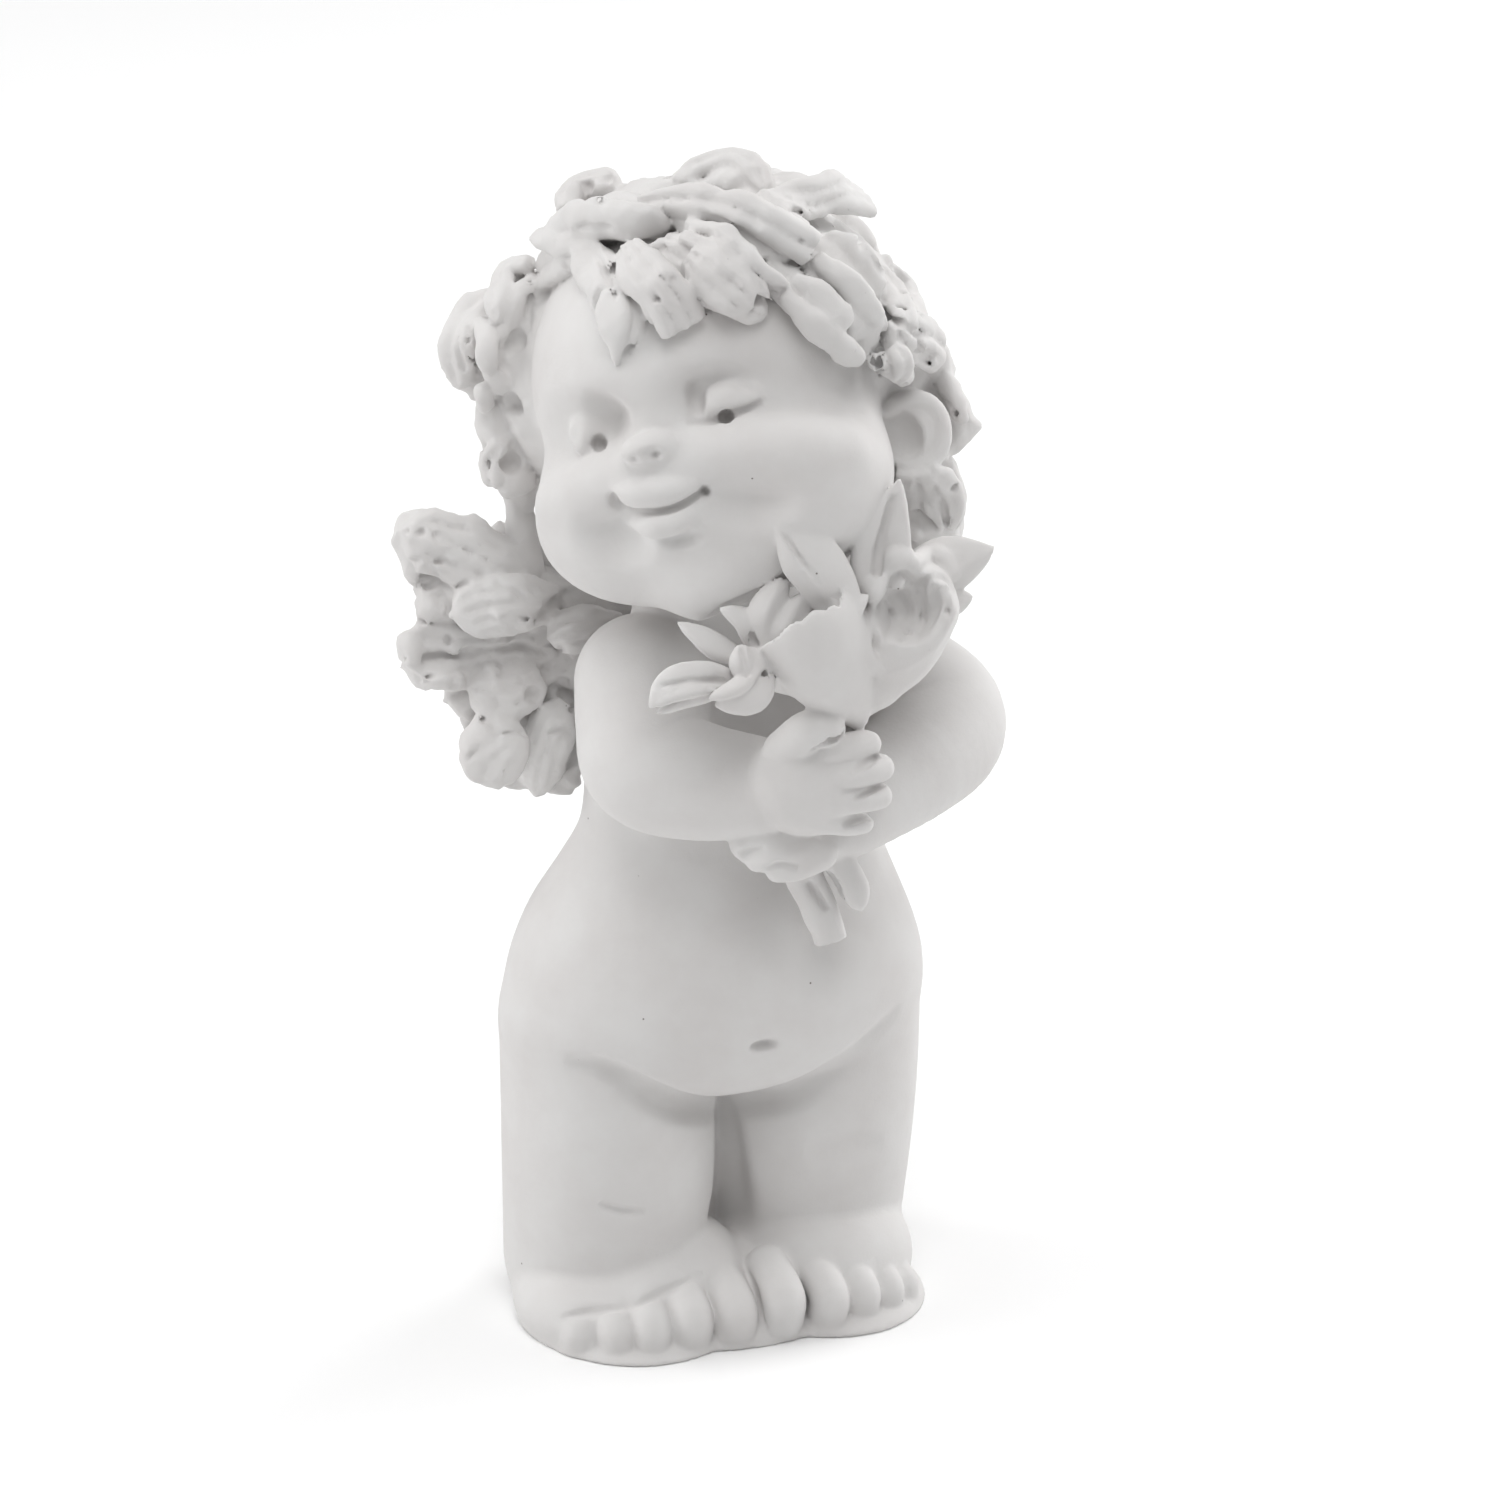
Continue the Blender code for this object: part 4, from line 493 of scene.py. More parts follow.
class Clay:
    """A block of clay: how far each spot of a grid is from the surface, in modules, below zero inside."""

    def __init__(self, low, high):
        self.start = [math.floor(value / STEP) for value in low]
        count = [math.ceil(value / STEP) - start + 1 for value, start in zip(high, self.start)]
        self.far = np.full(count, FAR, np.float32)

    def spots(self, low, high):
        """The part of the grid inside a box, and its x, y and z."""
        first = [max(0, math.floor(value / STEP) - start) for value, start in zip(low, self.start)]
        last = [min(count, math.ceil(value / STEP) - start + 1)
                for value, start, count in zip(high, self.start, self.far.shape)]
        part = tuple(slice(a, max(a, b)) for a, b in zip(first, last))
        axes = [np.arange(start + cut.start, start + cut.stop, dtype=np.float32) * np.float32(STEP)
                for start, cut in zip(self.start, part)]
        return part, np.meshgrid(*axes, indexing="ij", sparse=True)

    def add(self, form, blend):
        """Press a form on, its edge softened over the blend."""
        low, high, distance = form
        part, spots = self.spots(low - blend - MARGIN, high + blend + MARGIN)
        self.far[part] = soft_min(self.far[part], distance(*spots), blend)

    def copy(self):
        """The same clay again."""
        twin = Clay.__new__(Clay)
        twin.start, twin.far = self.start, self.far.copy()
        return twin

    def cut(self, form, blend):
        """Press a form in."""
        low, high, distance = form
        part, spots = self.spots(low - blend - MARGIN, high + blend + MARGIN)
        self.far[part] = -soft_min(-self.far[part], distance(*spots), blend)

    def at(self, places):
        """The distance at some places."""
        spot = np.asarray(places, float) / STEP - self.start
        spot = np.clip(spot, 0, np.array(self.far.shape) - 1 - JUST_INSIDE)
        base = spot.astype(int)
        share = spot - base
        total = np.zeros(len(spot))
        for corner in product((0, 1), repeat=3):
            weight = np.prod(np.where(corner, share, 1 - share), axis=1)
            total += weight * self.far[tuple((base + corner).T)]
        return total

    def outward(self, place):
        """The way out of the clay at a place."""
        steps = np.vstack([np.eye(3), -np.eye(3)]) * FEELER
        far = self.at(np.array(place) + steps)
        way = Vector(far[:3] - far[3:])
        return way.normalized() if way.length > LEAST_WAY else TOWARDS_CAMERA.copy()

    def seen(self, x, y, lift=0.0):
        """The place on the clay seen at a pixel, or nearest to that line of sight, lifted off the clay."""
        sight = (IMAGE_RIGHT * (x - IMAGE_CENTRE) + IMAGE_UP * (IMAGE_CENTRE - y)) / PIXELS_PER_MODULE
        sight = (sight - TOWARDS_CAMERA * CAMERA_DISTANCE).normalized()
        eye = CAMERA_AIM + TOWARDS_CAMERA * CAMERA_DISTANCE
        away = np.arange(CAMERA_DISTANCE - SIGHT_REACH, CAMERA_DISTANCE + SIGHT_REACH, SIGHT_STEP)
        line = np.array(eye) + np.array(sight) * away[:, None]
        far = self.at(line)
        hit = np.argmax(far < 0) if (far < 0).any() else np.argmin(far)
        return Vector(line[hit]) + self.outward(line[hit]) * lift

    def ridge(self, course):
        """A ridge over the clay through pixels, each with a radius and a height."""
        return limb([(*self.seen(x, y, height - radius), radius) for x, y, radius, height in course])

    def groove(self, course):
        """A groove into the clay through pixels, each with a radius and a depth."""
        return limb([(*self.seen(x, y, radius - depth), radius) for x, y, radius, depth in course])

    def swelling(self, pixel, half_sizes, lift, turn):
        """A stretched ball over the clay at a pixel, its half sizes across, up and towards the camera."""
        place = self.seen(*pixel) + TOWARDS_CAMERA * lift
        return ball((0, 0, 0), half_sizes, (0, 0, turn), Matrix.Translation(place) @ CAMERA_FRAME)

    def roughen(self, size, depth, seed):
        """Make the surface uneven, in soft lumps of a size."""
        random = np.random.default_rng(seed)
        lumps = random.uniform(-1, 1, [int(count * STEP / size) + 3 for count in self.far.shape]).astype(np.float32)
        for axis, count in enumerate(self.far.shape):
            place = np.arange(count) * STEP / size
            base = place.astype(int)
            share = place - base
            share = share * share * (3 - 2 * share)
            weights = np.zeros((count, lumps.shape[axis]), np.float32)
            weights[np.arange(count), base], weights[np.arange(count), base + 1] = 1 - share, share
            lumps = np.moveaxis(np.tensordot(weights, lumps, (1, axis)), 0, axis)
        self.far += depth * lumps

    def join(self, other, blend):
        """Press a smaller block of clay into this one."""
        part = tuple(slice(there - here, there - here + count)
                     for here, there, count in zip(self.start, other.start, other.far.shape))
        self.far[part] = soft_min(self.far[part], other.far, blend)


def soft_min(one, other, blend):
    """The lesser distance, rounded where the two are close."""
    share = np.clip(0.5 + 0.5 * (other - one) / blend, 0, 1)
    return other + (one - other) * share - blend * share * (1 - share)


def tapered(course, radius, depth):
    """Stations of a groove that runs out at both ends."""
    share = [TAPER] + [1.0] * (len(course) - 2) + [TAPER]
    return [(x, y, radius * part, depth * part) for (x, y), part in zip(course, share)]


def mirrored(place):
    """The same place on the other side."""
    return (-place[0],) + tuple(place[1:])


def ball(centre, half_sizes, turn=(0, 0, 0), frame=None):
    """A swelling: a ball stretched to its half sizes and turned, in degrees."""
    spin = Matrix.Rotation(math.radians(turn[2]), 3, "Z") @ Matrix.Rotation(math.radians(turn[1]), 3, "Y")
    centre = Vector(centre)
    if frame is not None:
        centre, spin = frame @ centre, frame.to_3x3() @ spin
    turned = np.array(spin.transposed(), np.float32)
    half = np.array(half_sizes, np.float32)
    reach = np.sqrt(((turned * half[:, None]) ** 2).sum(0))

    def distance(x, y, z):
        x, y, z = (value - np.float32(middle) for value, middle in zip((x, y, z), centre))
        across = [(row[0] * x + row[1] * y + row[2] * z) / size for row, size in zip(turned, half)]
        outward = np.sqrt(across[0] ** 2 + across[1] ** 2 + across[2] ** 2)
        slope = np.sqrt(sum((value / size) ** 2 for value, size in zip(across, half)))
        return outward * (outward - 1) / np.maximum(slope, TINY)

    middle = np.array(centre)
    return middle - reach, middle + reach, distance


def smooth_line(stations):
    """Stations along a soft curve that passes through the given ones."""
    given = np.array(stations, float)
    given = np.vstack([2 * given[0] - given[1], given, 2 * given[-1] - given[-2]])
    share = np.arange(SAMPLES_PER_SPAN)[:, None] / SAMPLES_PER_SPAN
    spans = []
    for before, start, end, after in zip(given, given[1:], given[2:], given[3:]):
        bend = 2 * before - 5 * start + 4 * end - after
        twist = 3 * start - before - 3 * end + after
        spans.append(start + 0.5 * ((end - before) * share + bend * share ** 2 + twist * share ** 3))
    return np.vstack(spans + [given[-2:-1]])


def limb(stations):
    """A round limb whose radius follows its stations."""
    line = smooth_line(stations).astype(np.float32)

    def distance(x, y, z):
        nearest = np.float32(FAR)
        for start, end in zip(line, line[1:]):
            step = end - start
            along = ((x - start[0]) * step[0] + (y - start[1]) * step[1] + (z - start[2]) * step[2])
            share = np.clip(along / (step[:3] @ step[:3]), 0, 1)
            off = np.sqrt((x - start[0] - share * step[0]) ** 2 + (y - start[1] - share * step[1]) ** 2
                          + (z - start[2] - share * step[2]) ** 2)
            nearest = np.minimum(nearest, off - start[3] - share * step[3])
        return nearest

    return (line[:, :3] - line[:, 3:]).min(0), (line[:, :3] + line[:, 3:]).max(0), distance


def sighted_limb(stations):
    """A round limb through pixels, each with its nearness and radius."""
    return limb([(*sighted(x, y, near), radius) for x, y, near, radius in stations])


def sighted_ball(station, half_sizes, turn=0):
    """A stretched ball at a pixel, its half sizes across, up and towards the camera."""
    return ball((0, 0, 0), half_sizes, (0, 0, turn), Matrix.Translation(sighted(*station)) @ CAMERA_FRAME)


def stack(sections):
    """A body of level oval sections."""
    line = smooth_line([(*centre, half_width, half_depth) for centre, half_width, half_depth in sections])
    middle_x, middle_y, level, width, depth = line.T

    def distance(x, y, z):
        x = x - np.interp(z, level, middle_x)
        y = y - np.interp(z, level, middle_y)
        half_x, half_y = np.interp(z, level, width), np.interp(z, level, depth)
        outward = np.hypot(x / half_x, y / half_y)
        slope = np.hypot(x / half_x ** 2, y / half_y ** 2)
        side = outward * (outward - 1) / np.maximum(slope, TINY)
        return np.maximum(side, np.maximum(level[0] - z, z - level[-1])).astype(np.float32)

    reach = np.array([width.max(), depth.max(), 0])
    return line[:, :3].min(0) - reach, line[:, :3].max(0) + reach, distance


def blade(stations, half_width, half_thickness, ending, facing, strands=1, strand_depth=0.0, ragged=0.0,
          roll=0.0, squareness=2.0):
    """A lock, feather or petal: a flat strip along its stations, facing one way, with its ends drawn in."""
    line = smooth_line(stations)
    last = len(line) - 1
    along = np.gradient(line, axis=0)
    along /= np.linalg.norm(along, axis=1)[:, None]
    normal = np.array([facing(place) for place in line], float)
    for _ in range(SAMPLES_PER_SPAN):
        normal[1:-1] = (normal[:-2] + 2 * normal[1:-1] + normal[2:]) / 4
    normal -= (normal * along).sum(1)[:, None] * along
    normal /= np.linalg.norm(normal, axis=1)[:, None]
    side = np.cross(along, normal)
    roll = math.radians(roll)
    normal, side = (normal * math.cos(roll) + side * math.sin(roll),
                    side * math.cos(roll) - normal * math.sin(roll))
    gap = np.linalg.norm(np.diff(line, axis=0), axis=1).sum() / last
    rings = np.hstack([line, along, normal, side]).astype(np.float32)
    widths = np.array([ending(ring / last) for ring in range(last + 1)], np.float32)

    def distance(x, y, z):
        shape = np.broadcast_shapes(x.shape, y.shape, z.shape)
        spots = np.stack([np.broadcast_to(value, shape).ravel() for value in (x, y, z)], 1)
        closest, ring = np.full(len(spots), np.inf, np.float32), np.zeros(len(spots), np.int32)
        for index in range(last + 1):
            off = ((spots - rings[index, :3]) ** 2).sum(1)
            nearer = off < closest
            closest[nearer], ring[nearer] = off[nearer], index
        place = ring + ((spots - rings[ring, :3]) * rings[ring, 3:6]).sum(1) / gap
        inside = np.clip(place, 0, last - JUST_INSIDE)
        beyond = np.abs(place - np.clip(place, 0, last)) * gap
        before = inside.astype(np.int32)
        share = (inside - before)[:, None].astype(np.float32)
        row = rings[before] * (1 - share) + rings[before + 1] * share
        width = widths[before] * (1 - share[:, 0]) + widths[before + 1] * share[:, 0]
        off = spots - row[:, :3]
        wave = 1 + ragged * np.sin(RAGGED_WAVES * inside / last) if ragged else 1.0
        half = np.maximum(half_width * width * wave, THINNEST)
        across = (off * row[:, 9:12]).sum(1) / half
        outward = (off * row[:, 6:9]).sum(1)
        thick = half_thickness * np.clip(np.sqrt(width), TIP_THICKNESS, 1)
        if strand_depth:
            crest = np.sqrt(np.abs(np.sin(math.pi * strands * (across + 1) / 2)))
            thick = thick * (1 - strand_depth * (1 - crest))
        level = outward / thick
        across, level = np.abs(across), np.abs(level)
        reach = np.maximum((across ** squareness + level ** squareness) ** (1 / squareness), LEAST_SLOPE)
        power = squareness - 1
        slope = np.hypot(across ** power / half, level ** power / thick) / reach ** power
        far = (reach - 1) / np.maximum(slope, LEAST_SLOPE)
        far = np.where(beyond > 0, np.hypot(np.maximum(far, 0), beyond), far)
        return far.reshape(shape).astype(np.float32)

    reach = max(half_width, half_thickness)
    return line.min(0) - reach, line.max(0) + reach, distance


def round_end(share):
    """Width along a lock or feather with a broad rounded tip."""
    return min(1.0, ROOT_WIDTH + ROOT_GROWTH * share, math.sqrt(max(1.0 - share, 0.0) * ROUND_TIP))


def feather_end(share):
    """Width along a short feather, evenly rounded towards its tip."""
    return min(1.0, ROOT_WIDTH + ROOT_GROWTH * share, math.sqrt(max(1.0 - share, 0.0) * FEATHER_TIP))


def pointed_end(share):
    """Width along a lock that narrows to its tip."""
    return min(1.0, POINT_ROOT + ROOT_GROWTH * share, POINT_WIDTH * max(1.0 - share, 0.0) ** POINT_DRAW)


def petal_end(share):
    """Width along a petal, narrow at both ends."""
    if share >= 1.0:
        return 0.0
    return math.sin(math.pi * (PETAL_START + (1 - PETAL_START) * share)) ** PETAL_FULLNESS


def square_end(share):
    """Width along a lock that ends cut off."""
    return min(1.0, ROOT_WIDTH + ROOT_GROWTH * share)


ENDINGS = {"round": round_end, "point": pointed_end, "square": square_end}


def block(name):
    """An empty block of clay for one part of the figure."""
    return Clay(*BLOCKS[name][:2])


def trunk():
    """Belly, waist, chest and neck over two stout legs, with the fold under the belly, navel and knees."""
    clay = block("trunk")
    for leg in (RIGHT_LEG, LEFT_LEG):
        clay.add(limb(leg), BLENDS["leg"])
    for seat in SEATS:
        clay.add(ball(*seat), BLENDS["seat"])
    clay.add(stack(TRUNK), BLENDS["trunk"])
    clay.cut(ball(*NAVEL), BLENDS["navel"])
    clay.cut(sighted_limb(LEG_GAP), BLENDS["leg gap"])
    for course, blend in KNEES + BELLY_FOLD:
        clay.cut(clay.groove(course), blend)
    return clay


def feet():
    """Insteps, ten toes and the thin sole that both feet share."""
    clay = block("feet")
    for instep in INSTEPS:
        clay.add(ball(*instep), BLENDS["instep"])
    for side, toes in ((-1, RIGHT_TOES), (1, LEFT_TOES)):
        for x, y, z, radius, lean in toes:
            back = (x - side * lean * TOE_BACK, y + TOE_BACK, z + TOE_RISE, radius)
            end = (x, y + TOE_END, z - TOE_DROP, radius)
            clay.add(limb([back, (x, y, z, radius), end]), BLENDS["toe"])
    for (x, y), (half_width, half_length), turn in SOLE_PADS:
        half_sizes = (half_width, half_length, SOLE_THICKNESS)
        clay.add(ball((x, y, 0.0), half_sizes, (0, 0, turn)), BLENDS["sole"])
    for course in TOE_CREASES:
        crease = tapered(course, TOE_CREASE_RADIUS, TOE_CREASE_DEPTH)
        clay.cut(clay.groove(crease), BLENDS["toe crease"])
    return clay


def arms():
    """Two bent arms that cross in front of the chest."""
    clay = block("arms")
    for arm in (RIGHT_ARM, LEFT_ARM):
        clay.add(limb(arm), BLENDS["arm"])
    return clay


def hands():
    """The right hand over the left one, around the stems."""
    under = block("hands")
    for course, half_width, half_thickness, ending in STEMS:
        places = [sighted(*station) for station in course]
        under.add(blade(places, half_width, half_thickness, ENDINGS[ending], lambda place: TOWARDS_CAMERA,
                        squareness=STEM_SQUARENESS), BLENDS["stem"])
    for course, blend in STEM_GROOVES:
        under.cut(under.groove(course), blend)
    under.add(ball(*LEFT_PALM), BLENDS["left palm"])
    for finger in LEFT_FINGERS:
        under.add(sighted_limb(finger), BLENDS["left finger"])
    over = block("hands")
    for palm in RIGHT_PALM:
        over.add(ball(*palm), BLENDS["right palm"])
    for finger in [RIGHT_THUMB] + RIGHT_FINGERS:
        over.add(sighted_limb(finger), BLENDS["right finger"])
    under.join(over, BLENDS["hand over hand"])
    for course, blend in HAND_GROOVES:
        under.cut(under.groove(course), blend)
    return under


def head():
    """Skull, jaw, cheeks and chin with the face and ears."""
    clay = block("head")
    clay.add(ball(*SKULL, frame=HEAD), BLENDS["skull"])
    clay.add(ball(*JAW, frame=HEAD), BLENDS["jaw"])
    for cheek in (CHEEK, (mirrored(CHEEK[0]), CHEEK[1])):
        clay.add(ball(*cheek, frame=HEAD), BLENDS["cheek"])
    clay.add(ball(*CHIN, frame=HEAD), BLENDS["chin"])
    clay.add(ball(*MUZZLE, frame=HEAD), BLENDS["muzzle"])
    for across in (tuple, mirrored):
        clay.cut(ball(across(EYE_SOCKET[0]), EYE_SOCKET[1], frame=HEAD), BLENDS["eye socket"])
    clay.cut(sighted_ball(*UNDER_CHIN), BLENDS["under chin"])
    clay.cut(clay.groove(FACE_TROUGH), BLENDS["trough"])
    for place, half_sizes, depth, turn, blend in FACE_SOCKETS:
        clay.cut(clay.swelling(place, half_sizes, half_sizes[2] - depth, turn), blend)
    for course, blend in FACE_RIDGES:
        clay.add(clay.ridge(course), blend)
    for place, half_sizes, height, turn, blend in FACE_SWELLINGS:
        clay.add(clay.swelling(place, half_sizes, height - half_sizes[2], turn), blend)
    for course, blend in FACE_GROOVES:
        clay.cut(clay.groove(course), blend)
    for place, half_sizes, depth, turn, blend in FACE_HOLLOWS:
        clay.cut(clay.swelling(place, half_sizes, half_sizes[2] - depth, turn), blend)
    for across in (tuple, mirrored):
        side = across((1, 0))[0]
        for press, form, name in ((clay.add, EAR, "ear"), (clay.cut, EAR_HOLLOW, "ear hollow")):
            centre, half_sizes, turn = form
            press(ball(across(centre), half_sizes, (0, 0, turn * side), HEAD), BLENDS[name])
    clay.add(clay.ridge(EAR_RIM), BLENDS["ear rim"])
    return clay


def scalp_place(azimuth, elevation, lift):
    """A place over the scalp, seen from the scalp's centre."""
    azimuth, elevation = math.radians(azimuth), math.radians(elevation)
    away = Vector((math.sin(azimuth) * math.cos(elevation), -math.cos(azimuth) * math.cos(elevation),
                   math.sin(elevation)))
    centre, half_sizes = SCALP
    reach = 1 / math.sqrt(sum((part / half) ** 2 for part, half in zip(away, half_sizes)))
    return HEAD @ (Vector(centre) + away * (reach + lift))


def out_of_scalp(place):
    """The way out of the head at a place."""
    return Vector(place) - HEAD @ Vector(SCALP[0])


def steadied(places):
    """The places of a course without leaps towards the camera or away from it."""
    steady = places[:1]
    for place in places[1:]:
        step = place - steady[-1]
        near = step.dot(TOWARDS_CAMERA)
        limit = (step - TOWARDS_CAMERA * near).length * LOCK_STEEPNESS
        steady.append(place + TOWARDS_CAMERA * (min(max(near, -limit), limit) - near))
    return steady


def hair(face):
    """The mass of hair, tresses, locks over them and rows of plainer locks behind."""
    clay = block("hair")
    for swelling in HAIR_MASS:
        clay.add(ball(*swelling, frame=HEAD), BLENDS["hair mass"])
    for course, half_width, half_thickness, ending in TRESSES:
        places = [scalp_place(*station) for station in course]
        clay.add(blade(places, half_width, half_thickness, ENDINGS[ending], out_of_scalp,
                       strands=round(half_width / STRAND_WIDTH), strand_depth=STRAND_DEPTH), BLENDS["tress"])
    for course in HAIR_ENDS:
        clay.add(sighted_limb(course), BLENDS["hair end"])
    for elevation, count, first, last, lift in BACK_ROWS:
        for lock in range(count):
            azimuth = first + (last - first) * lock / (count - 1)
            swing = BACK_LOCK_SWING * (-1) ** lock
            course = [(azimuth, elevation + BACK_LOCK_DROP / 2, lift / 2), (azimuth + swing, elevation, lift),
                      (azimuth + swing / 2, elevation - BACK_LOCK_DROP / 2, lift)]
            places = [scalp_place(*station) for station in course]
            clay.add(blade(places, BACK_LOCK_WIDTH, BACK_LOCK_THICKNESS, pointed_end, out_of_scalp,
                           strands=BACK_LOCK_STRANDS, strand_depth=STRAND_DEPTH), BLENDS["back lock"])
    ground = clay.copy()
    ground.join(face, BLENDS["hair over face"])
    for course, half_width, half_thickness, ending, strands, roll in LOCKS:
        places = steadied([ground.seen(*station) for station in course])
        clay.add(blade(places, half_width, half_thickness, ENDINGS[ending],
                       lambda place: ground.outward(place) + TOWARDS_CAMERA * LOCK_LEAN, strands=strands,
                       strand_depth=STRAND_DEPTH, roll=roll, squareness=LOCK_SQUARENESS), BLENDS["lock"])
    for course, radius, depth in GAPS:
        clay.cut(ground.groove(tapered(course, radius, depth)), BLENDS["gap"])
    for course in HAIR_STRANDS:
        strand = tapered(course, STRAND_GROOVE_RADIUS, STRAND_GROOVE_DEPTH)
        clay.cut(clay.groove(strand), BLENDS["strand"])
    for x, y, size in HAIR_PITS:
        clay.cut(ball(clay.seen(x, y), (size, size, size)), BLENDS["pit"])
    for lumps in HAIR_LUMPS:
        clay.roughen(*lumps)
    return clay


def wings():
    """Two spread wings of long feathers with shorter ones over their roots, the left one the right one mirrored."""
    clay = block("wings")
    for centre, half_sizes, turn in WING_PADS:
        clay.add(ball(centre, half_sizes, (0, 0, turn)), BLENDS["wing pad"])
    for feathers, thickness in ((LONG_FEATHERS, LONG_FEATHER_THICKNESS), (BACK_FEATHERS, SHORT_FEATHER_THICKNESS)):
        for course, half_width in feathers:
            clay.add(blade(course, half_width, thickness, round_end, lambda place: WING_FACE,
                           strands=FEATHER_STRANDS, strand_depth=LONG_STRAND_DEPTH, ragged=FEATHER_RAGGED,
                           roll=FEATHER_ROLL), BLENDS["feather"])
    for lobe in WING_LOBES:
        clay.add(sighted_ball(*lobe), BLENDS["wing lobe"])
    ground = clay.copy()
    for course, half_width in SHORT_FEATHERS:
        places = [ground.seen(*station) for station in course]
        clay.add(blade(places, half_width, SHORT_FEATHER_THICKNESS, feather_end, lambda place: WING_FACE,
                       strands=FEATHER_STRANDS, strand_depth=SHORT_STRAND_DEPTH), BLENDS["short feather"])
    clay.roughen(*WING_LUMPS[0])
    for course, radius, depth in FEATHER_GROOVES:
        clay.cut(clay.groove(tapered(course, radius, depth)), BLENDS["feather"])
    for x, y, size in WING_PITS:
        clay.cut(ball(clay.seen(x, y), (size, size, size)), BLENDS["pit"])
    clay.roughen(*WING_LUMPS[1])
    clay.far = np.minimum(clay.far, clay.far[::-1])
    return clay


def lilies():
    """Two trumpets with hollow mouths and a star of petals."""
    clay = block("lilies")
    clay.add(sighted_limb(TRUMPET), BLENDS["trumpet"])
    clay.cut(sighted_ball(*TRUMPET_RIM), BLENDS["trumpet rim"])
    clay.cut(sighted_limb(TRUMPET_HOLLOW), BLENDS["trumpet"])
    clay.add(sighted_limb(BELL), BLENDS["bell"])
    clay.cut(sighted_ball(*BELL_MOUTH), BLENDS["bell mouth"])
    for heart in STAR_HEART:
        clay.add(sighted_ball(*heart), BLENDS["star heart"])
    for course in BUD:
        clay.add(sighted_limb(course), BLENDS["bud"])
    for course, half_width, half_thickness, roll in PETALS:
        places = [sighted(*station) for station in course]
        clay.add(blade(places, half_width, half_thickness, petal_end, lambda place: TOWARDS_CAMERA, roll=roll,
                       squareness=PETAL_SQUARENESS), BLENDS["petal"])
    for course, blend in LILY_RIDGES:
        clay.add(clay.ridge(course), blend)
    for course, blend in LILY_GROOVES:
        clay.cut(clay.groove(course), blend)
    for x, y, size in BELL_PITS:
        clay.cut(ball(clay.seen(x, y), (size, size, size)), BLENDS["bell pit"])
    clay.roughen(*LILY_LUMPS)
    return clay


def casting():
    """All the clay in one block, cut off level at the floor."""
    clay = Clay(*CASTING)
    face = head()
    parts = {"trunk": trunk(), "feet": feet(), "wings": wings(), "arms": arms(), "head": face, "hair": hair(face),
             "lilies": lilies(), "hands": hands()}
    for name, part in parts.items():
        clay.join(part, BLOCKS[name][2])
    level = (clay.start[2] + np.arange(clay.far.shape[2], dtype=np.float32)) * STEP
    clay.far = np.maximum(clay.far, -level[None, None, :])
    return clay


def skin(clay):
    """The clay's surface as points, in modules, and four-sided faces."""
    far, inside = clay.far, clay.far < 0
    cells = [count - 1 for count in far.shape]
    corners = list(product((0, 1), repeat=3))
    total = sum(inside[a:a + cells[0], b:b + cells[1], c:c + cells[2]].astype(np.uint8) for a, b, c in corners)
    mixed = (total > 0) & (total < 8)
    cell = np.argwhere(mixed)
    number = np.full(cells, -1, np.int32)
    number[mixed] = np.arange(len(cell))
    place, hits = np.zeros((len(cell), 3), np.float32), np.zeros(len(cell), np.float32)
    for start, end in product(corners, corners):
        if sum(end) - sum(start) != 1 or any(a > b for a, b in zip(start, end)):
            continue
        one, other = (far[cell[:, 0] + c[0], cell[:, 1] + c[1], cell[:, 2] + c[2]] for c in (start, end))
        crossed = (one < 0) != (other < 0)
        share = np.where(crossed, one / np.where(crossed, one - other, 1), 0)
        spot = np.array(start, np.float32) + share[:, None] * (np.array(end) - np.array(start))
        place += np.where(crossed[:, None], spot, 0)
        hits += crossed
    points = (cell + place / hits[:, None] + np.array(clay.start)) * STEP
    faces = []
    for axis in range(3):
        low = [slice(1, count) for count in cells]
        high = list(low)
        low[axis], high[axis] = slice(0, cells[axis]), slice(1, cells[axis] + 1)
        one, other = inside[tuple(low)], inside[tuple(high)]
        across, up = (axis + 1) % 3, (axis + 2) % 3
        for outward in (True, False):
            edge = np.argwhere((one == outward) & (other != outward))
            edge[:, [across, up]] += 1
            ring = []
            for back, down in ((-1, -1), (0, -1), (0, 0), (-1, 0)):
                at = edge.copy()
                at[:, across] += back
                at[:, up] += down
                ring.append(number[at[:, 0], at[:, 1], at[:, 2]])
            faces.append(np.stack(ring if outward else ring[::-1], 1))
    return points, np.vstack(faces)


def keep_largest(mesh):
    """Leave the one connected casting, without crumbs beside it or closed hollows in it."""
    work = bmesh.new()
    work.from_mesh(mesh)
    parts, known = [], set()
    for start in work.verts:
        if start in known:
            continue
        known.add(start)
        part = [start]
        for point in part:
            for edge in point.link_edges:
                other = edge.other_vert(point)
                if other not in known:
                    known.add(other)
                    part.append(other)
        parts.append(part)
    parts.sort(key=len)
    bmesh.ops.delete(work, geom=[point for part in parts[:-1] for point in part], context="VERTS")
    work.to_mesh(mesh)
    work.free()


